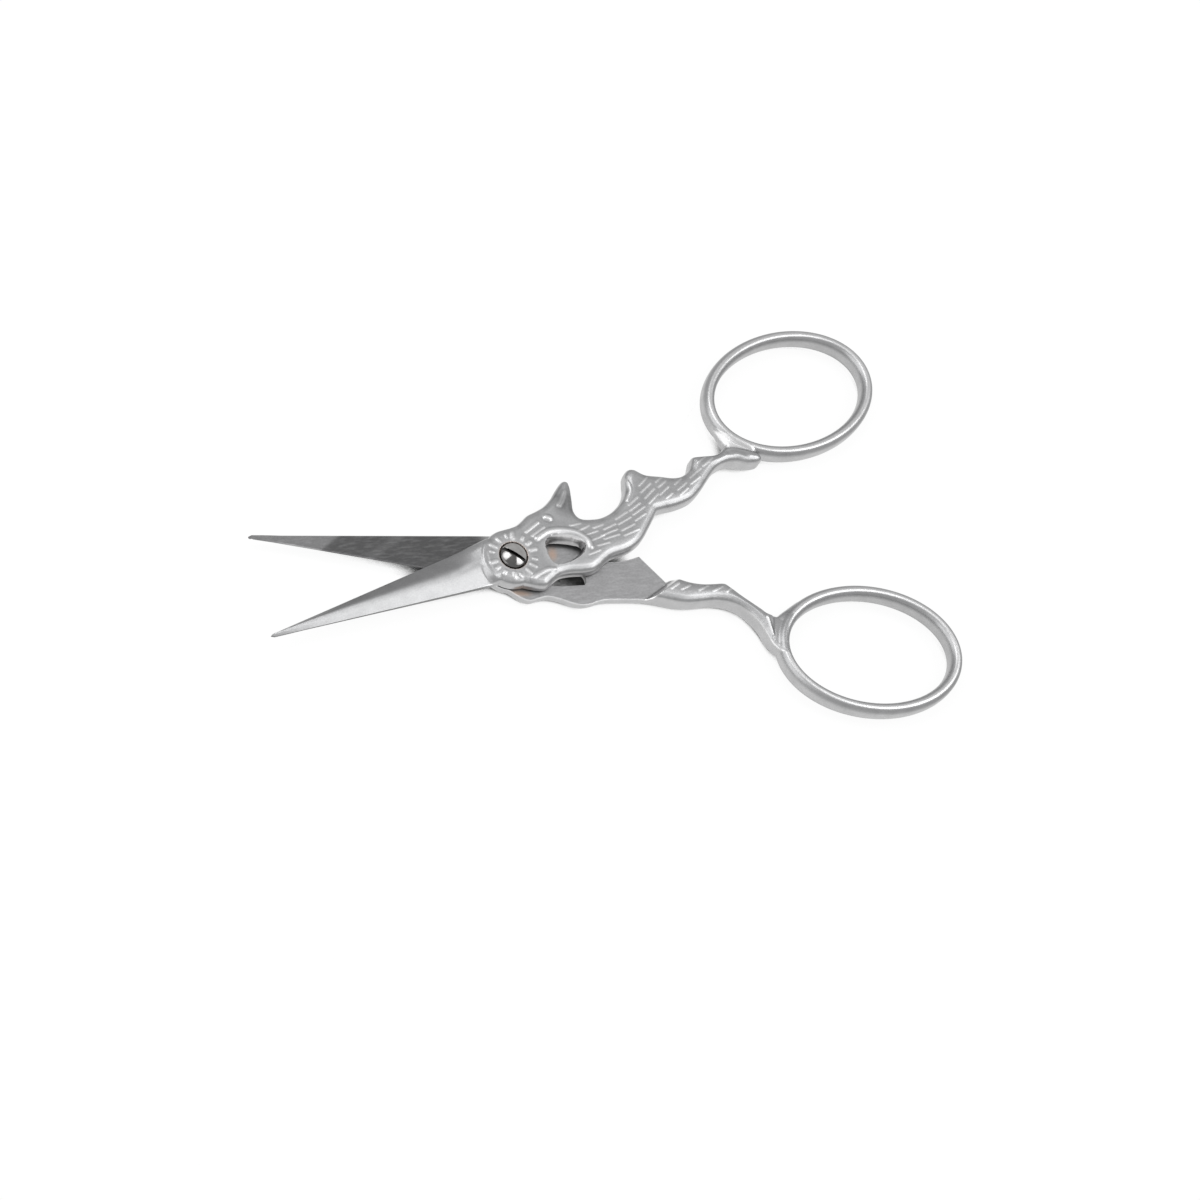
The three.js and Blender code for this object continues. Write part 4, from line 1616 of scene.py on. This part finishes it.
@dataclass(frozen=True)
class Nodes:
    """Short ways to add the nodes that the finishes and the studio need.

    Attributes:
        tree: the node tree to add to.
    """

    tree: bpy.types.NodeTree

    def add(self, kind: str, inputs: dict[str | int, Feed], **settings: str | int) -> bpy.types.Node:
        """Adds a node.

        Args:
            kind: the node's type, without the words that all shader nodes start with.
            inputs: a constant or an output for each input that isn't left as it is.
            settings: the node's own options.

        Returns:
            The new node.
        """
        node = self.tree.nodes.new("ShaderNode" + kind)
        for option, value in settings.items():
            setattr(node, option, value)
        for socket, value in inputs.items():
            self.feed(node, socket, value)
        return node

    def feed(self, node: bpy.types.Node, socket: str | int, value: Feed) -> None:
        """Sets an input to a constant, or links an output to it.

        Args:
            node: the node that has the input.
            socket: the input's name or number.
            value: the constant or the output.
        """
        if isinstance(value, bpy.types.NodeSocket):
            self.tree.links.new(value, node.inputs[socket])
        else:
            node.inputs[socket].default_value = value

    def noise(self, place: Feed, size: float, detail: float) -> bpy.types.NodeSocket:
        """A noise whose lumps are about the given size in millimetres."""
        inputs = {"Scale": 1 / (size * MILLIMETRE), "Detail": detail, "Vector": place}
        return self.add("TexNoise", inputs).outputs["Fac"]

    def mapped(self, place: Feed, scale: Triple, turn: float = 0.0) -> bpy.types.NodeSocket:
        """Places that are scaled, and turned about Z."""
        inputs = {"Scale": scale, "Rotation": (0.0, 0.0, turn), "Vector": place}
        return self.add("Mapping", inputs).outputs["Vector"]

    def attribute(self, name: str) -> bpy.types.NodeSocket:
        """A value painted on the mesh."""
        return self.add("Attribute", {}, attribute_name=name).outputs["Fac"]

    def mix(self, share: Feed, low: Feed, high: Feed) -> bpy.types.NodeSocket:
        """A colour between two others."""
        inputs = {"A": low, "B": high, "Factor": share}
        return self.add("Mix", inputs, data_type="RGBA").outputs["Result"]

    def math(self, operation: str, first: Feed, second: Feed) -> bpy.types.NodeSocket:
        """Arithmetic on two values."""
        return self.add("Math", {0: first, 1: second}, operation=operation).outputs["Value"]

    def ranged(self, value: Feed, low: float, high: float) -> bpy.types.NodeSocket:
        """A value from 0 to 1 stretched to a range."""
        return self.add("MapRange", {"To Min": low, "To Max": high, "Value": value}).outputs["Result"]


@dataclass(frozen=True)
class Steel:
    """A steel finish: its tones, gloss and grain.

    Attributes:
        name: the material's name.
        dark: base colour where the steel is dull.
        light: base colour where it is rubbed bright or carries a painted highlight or reflection.
        roughness: of the dull steel and of the bright steel.
        grain: size of the fine grain in millimetres.
        grain_strength: how strongly the grain dents the surface.
        stretch: how far the grain is drawn out into scratches along X.
        wear: how much paler the steel is in rubbed smears.
        grain_depth: depth of the grain in millimetres.
        grain_detail: octaves of finer noise in the grain.
        cloud: size of the mottling in millimetres.
        cloud_detail: octaves of finer noise in the mottling.
        mottle: darkest and palest share that the mottling gives.
        speckle: darkest and palest share that the fine grain gives.
        smear: size of the smears in millimetres.
        smear_detail: octaves of finer noise in the smears.
        smear_scale: how the smears are drawn out.
        smear_turn: how far they are turned, in radians.
        smear_range: lowest and highest level of the smears, of which those above 0 show.
        stain_colour: colour of dried oil.
    """

    name: str
    dark: Triple
    light: Triple
    roughness: Pair
    grain: float = 0.12
    grain_strength: float = 0.12
    stretch: float = 1.0
    wear: float = 0.0
    grain_depth: float = 0.03
    grain_detail: float = 2.0
    cloud: float = 1.6
    cloud_detail: float = 3.0
    mottle: Pair = (0.86, 1.14)
    speckle: Pair = (0.82, 1.18)
    smear: float = 0.5
    smear_detail: float = 6.0
    smear_scale: Triple = (0.3, 1.4, 1.0)
    smear_turn: float = 0.8
    smear_range: Pair = (-2.6, 3.0)
    stain_colour: Triple = (0.34, 0.22, 0.15)

    def material(self) -> bpy.types.Material:
        """Makes the procedural material.

        Returns:
            A material that reads the polish, tone and stain painted on the mesh.
        """
        material = bpy.data.materials.new(self.name)
        material.use_nodes = True
        nodes = Nodes(material.node_tree)
        place = nodes.add("TexCoord", {}).outputs["Object"]
        drawn_out = nodes.mapped(place, (1 / self.stretch, 1.0, 1.0))
        fine = nodes.noise(drawn_out, self.grain, self.grain_detail)
        cloud = nodes.noise(drawn_out, self.cloud, self.cloud_detail)
        polish = nodes.attribute("polish")
        colour = nodes.mix(polish, (*self.dark, 1.0), (*self.light, 1.0))
        level = self.level(nodes, place, fine, cloud)
        toned = nodes.add("VectorMath", {0: colour, "Scale": level}, operation="SCALE").outputs["Vector"]
        stain = nodes.math("MULTIPLY", nodes.attribute("stain"), cloud)
        dents = {"Strength": self.grain_strength, "Distance": self.grain_depth * MILLIMETRE, "Height": fine}
        looks = {
            "Metallic": 1.0,
            "Base Color": nodes.mix(stain, toned, (*self.stain_colour, 1.0)),
            "Roughness": nodes.ranged(polish, *self.roughness),
            "Normal": nodes.add("Bump", dents).outputs["Normal"],
        }
        for socket, value in looks.items():
            nodes.feed(material.node_tree.nodes["Principled BSDF"], socket, value)
        return material

    def level(self, nodes: Nodes, place: Feed, fine: Feed, cloud: Feed) -> bpy.types.NodeSocket:
        """How bright the steel is: its painted tone, mottled, speckled and smeared.

        Args:
            nodes: the material's nodes.
            place: the object's own places.
            fine: the fine grain.
            cloud: the mottling.

        Returns:
            An output that is about 1 on plain steel.
        """
        shade = nodes.math("MULTIPLY", nodes.attribute("tone"), 1 / PLAIN_TONE)
        mottled = nodes.math("MULTIPLY", shade, nodes.ranged(cloud, *self.mottle))
        even = nodes.math("MULTIPLY", mottled, nodes.ranged(fine, *self.speckle))
        if not self.wear:
            return even
        turned = nodes.mapped(place, self.smear_scale, self.smear_turn)
        smears = nodes.noise(turned, self.smear, self.smear_detail)
        worn = nodes.math("MAXIMUM", nodes.ranged(smears, *self.smear_range), 0.0)
        return nodes.math("ADD", even, nodes.math("MULTIPLY", worn, self.wear))


SATIN = Steel("satin_steel", (0.245, 0.246, 0.249), (0.8, 0.798, 0.8), (0.38, 0.32), 0.18, 0.01)
GROUND = Steel("ground_steel", (0.235, 0.235, 0.238), (0.7, 0.7, 0.71), (0.45, 0.35), 0.2, 0.05, 1.6, 0.1)
CHROME = Steel("screw_chrome", (0.32, 0.315, 0.31), (0.9, 0.9, 0.9), (0.1, 0.08), 0.4, 0.01)


@dataclass(frozen=True)
class Softbox:
    """A square lamp that faces the object.

    Attributes:
        name: the lamp's name.
        place: where it stands, in metres.
        size: its side in metres.
        power: its power in watts.
    """

    name: str
    place: Triple
    size: float
    power: float

    def build(self) -> None:
        """Adds the lamp to the scene."""
        light = bpy.data.lights.new(self.name, "AREA")
        light.shape = "RECTANGLE"
        light.size = self.size
        light.size_y = self.size
        light.energy = self.power
        lamp = bpy.data.objects.new(self.name, light)
        lamp.location = self.place
        lamp.rotation_euler = Vector(self.place).to_track_quat("Z", "Y").to_euler()
        bpy.context.scene.collection.objects.link(lamp)


@dataclass
class Studio:
    """A white sweep, soft lamps and the camera at the photograph's angle.

    Attributes:
        floor_size: side of the floor in metres.
        floor_grey: how pale the floor is.
        floor_roughness: how matt it is.
        floor_glow: share of the floor's white that doesn't depend on the lamps.
        shadow_reach: how far from the object its shade reaches, in metres.
        shadow_deep: openness to the sky at which the shade is full.
        shadow_open: openness to the sky at which the shade ends.
        shadow_samples: rays for the shade.
        sky: strength of the sky where it isn't seen.
        lens: focal length in millimetres.
        camera_from_pivot: the camera's place from the pivot, in metres.
        camera_right: direction of the picture's right.
        camera_up: direction of the picture's top.
        lamps: the softboxes.
    """

    floor_size: float = 6.0
    floor_grey: float = 0.9
    floor_roughness: float = 0.9
    floor_glow: float = 0.93
    shadow_reach: float = 0.006
    shadow_deep: float = 0.22
    shadow_open: float = 0.38
    shadow_samples: int = 16
    sky: float = 0.55
    lens: float = 92.29
    camera_from_pivot: Triple = (-0.14418, -0.15237, 0.35797)
    camera_right: Triple = (0.919775, -0.26033, 0.29369)
    camera_up: Triple = (0.121446, 0.900391, 0.4178)
    lamps: tuple[Softbox, ...] = (
        Softbox("right", (0.33, -0.06, 0.5), 0.28, 1.3),
        Softbox("left", (-0.11, 0.22, 0.55), 0.28, 1.1),
        Softbox("low_left", (-0.5, -0.02, 0.32), 0.7, 2.6),
    )

    @staticmethod
    def seen_ray(nodes: Nodes) -> bpy.types.NodeSocket:
        """1 for rays from the camera, from a reflection or through glass.

        Args:
            nodes: the nodes to add to.

        Returns:
            The output that says so.
        """
        path = nodes.add("LightPath", {}).outputs
        first = nodes.math("MAXIMUM", path["Is Camera Ray"], path["Is Glossy Ray"])
        return nodes.math("MAXIMUM", first, path["Is Transmission Ray"])

    def world(self) -> None:
        """An even sky that is white wherever it is seen."""
        world = bpy.data.worlds.new("studio")
        bpy.context.scene.world = world
        world.use_nodes = True
        nodes = Nodes(world.node_tree)
        background = world.node_tree.nodes["Background"]
        nodes.feed(background, "Strength", nodes.ranged(self.seen_ray(nodes), self.sky, 1.0))
        nodes.feed(background, "Color", (1.0, 1.0, 1.0, 1.0))

    def floor_finish(self) -> bpy.types.Material:
        """A pale finish that looks white and keeps the object's shadow.

        Returns:
            The floor's material.
        """
        material = bpy.data.materials.new("white_floor")
        material.use_nodes = True
        tree = material.node_tree
        nodes = Nodes(tree)
        shader = tree.nodes["Principled BSDF"]
        nodes.feed(shader, "Base Color", (self.floor_grey, self.floor_grey, self.floor_grey, 1.0))
        nodes.feed(shader, "Roughness", self.floor_roughness)
        reach = {"Distance": self.shadow_reach}
        open_sky = nodes.add("AmbientOcclusion", reach, samples=self.shadow_samples).outputs["AO"]
        limits = {"Value": open_sky, "From Min": self.shadow_deep, "From Max": self.shadow_open}
        lit = nodes.add("MapRange", limits, interpolation_type="SMOOTHSTEP").outputs["Result"]
        glossy = nodes.add("LightPath", {}).outputs["Is Glossy Ray"]
        glow = nodes.add("Emission", {"Strength": nodes.math("MAXIMUM", lit, glossy)})
        share = nodes.math("MULTIPLY", self.seen_ray(nodes), self.floor_glow)
        both = {"Fac": share, 1: shader.outputs["BSDF"], 2: glow.outputs["Emission"]}
        mixed = nodes.add("MixShader", both).outputs["Shader"]
        nodes.feed(tree.nodes["Material Output"], "Surface", mixed)
        return material

    def floor(self) -> None:
        """The floor that the object lies on."""
        half = self.floor_size / 2
        mesh = bpy.data.meshes.new("floor")
        corners = [(-half, -half, 0), (half, -half, 0), (half, half, 0), (-half, half, 0)]
        mesh.from_pydata(corners, [], [(0, 1, 2, 3)])
        mesh.materials.append(self.floor_finish())
        plane = bpy.data.objects.new("floor", mesh)
        bpy.context.scene.collection.objects.link(plane)

    def camera(self) -> None:
        """The camera, with the photograph's place, tilt and lens."""
        data = bpy.data.cameras.new("camera")
        data.lens = self.lens
        camera = bpy.data.objects.new("camera", data)
        right, up = Vector(self.camera_right), Vector(self.camera_up)
        turn = Matrix((right, up, right.cross(up))).transposed().to_4x4()
        pivot = Vector(frame["joints"][0]["pos_m"])
        camera.matrix_world = Matrix.Translation(pivot + Vector(self.camera_from_pivot)) @ turn
        bpy.context.scene.collection.objects.link(camera)
        bpy.context.scene.camera = camera

    def build(self) -> None:
        """Sets up everything round the object."""
        bpy.context.scene.view_settings.view_transform = "Standard"
        self.world()
        self.floor()
        for lamp in self.lamps:
            lamp.build()
        self.camera()


def main() -> None:
    """Builds the scissors and the studio."""
    logging.basicConfig(level=logging.INFO, format="%(name)s: %(message)s")
    satin, ground, chrome = (finish.material() for finish in (SATIN, GROUND, CHROME))
    for half in (front_half(), rear_half()):
        piece = half.build([satin, ground])
        LOG.info("%s: %d faces", piece.name, len(piece.data.polygons))
    screw = PivotScrew().build(chrome)
    LOG.info("%s: %d faces", screw.name, len(screw.data.polygons))
    Studio().build()


if __name__ == "__main__":
    main()
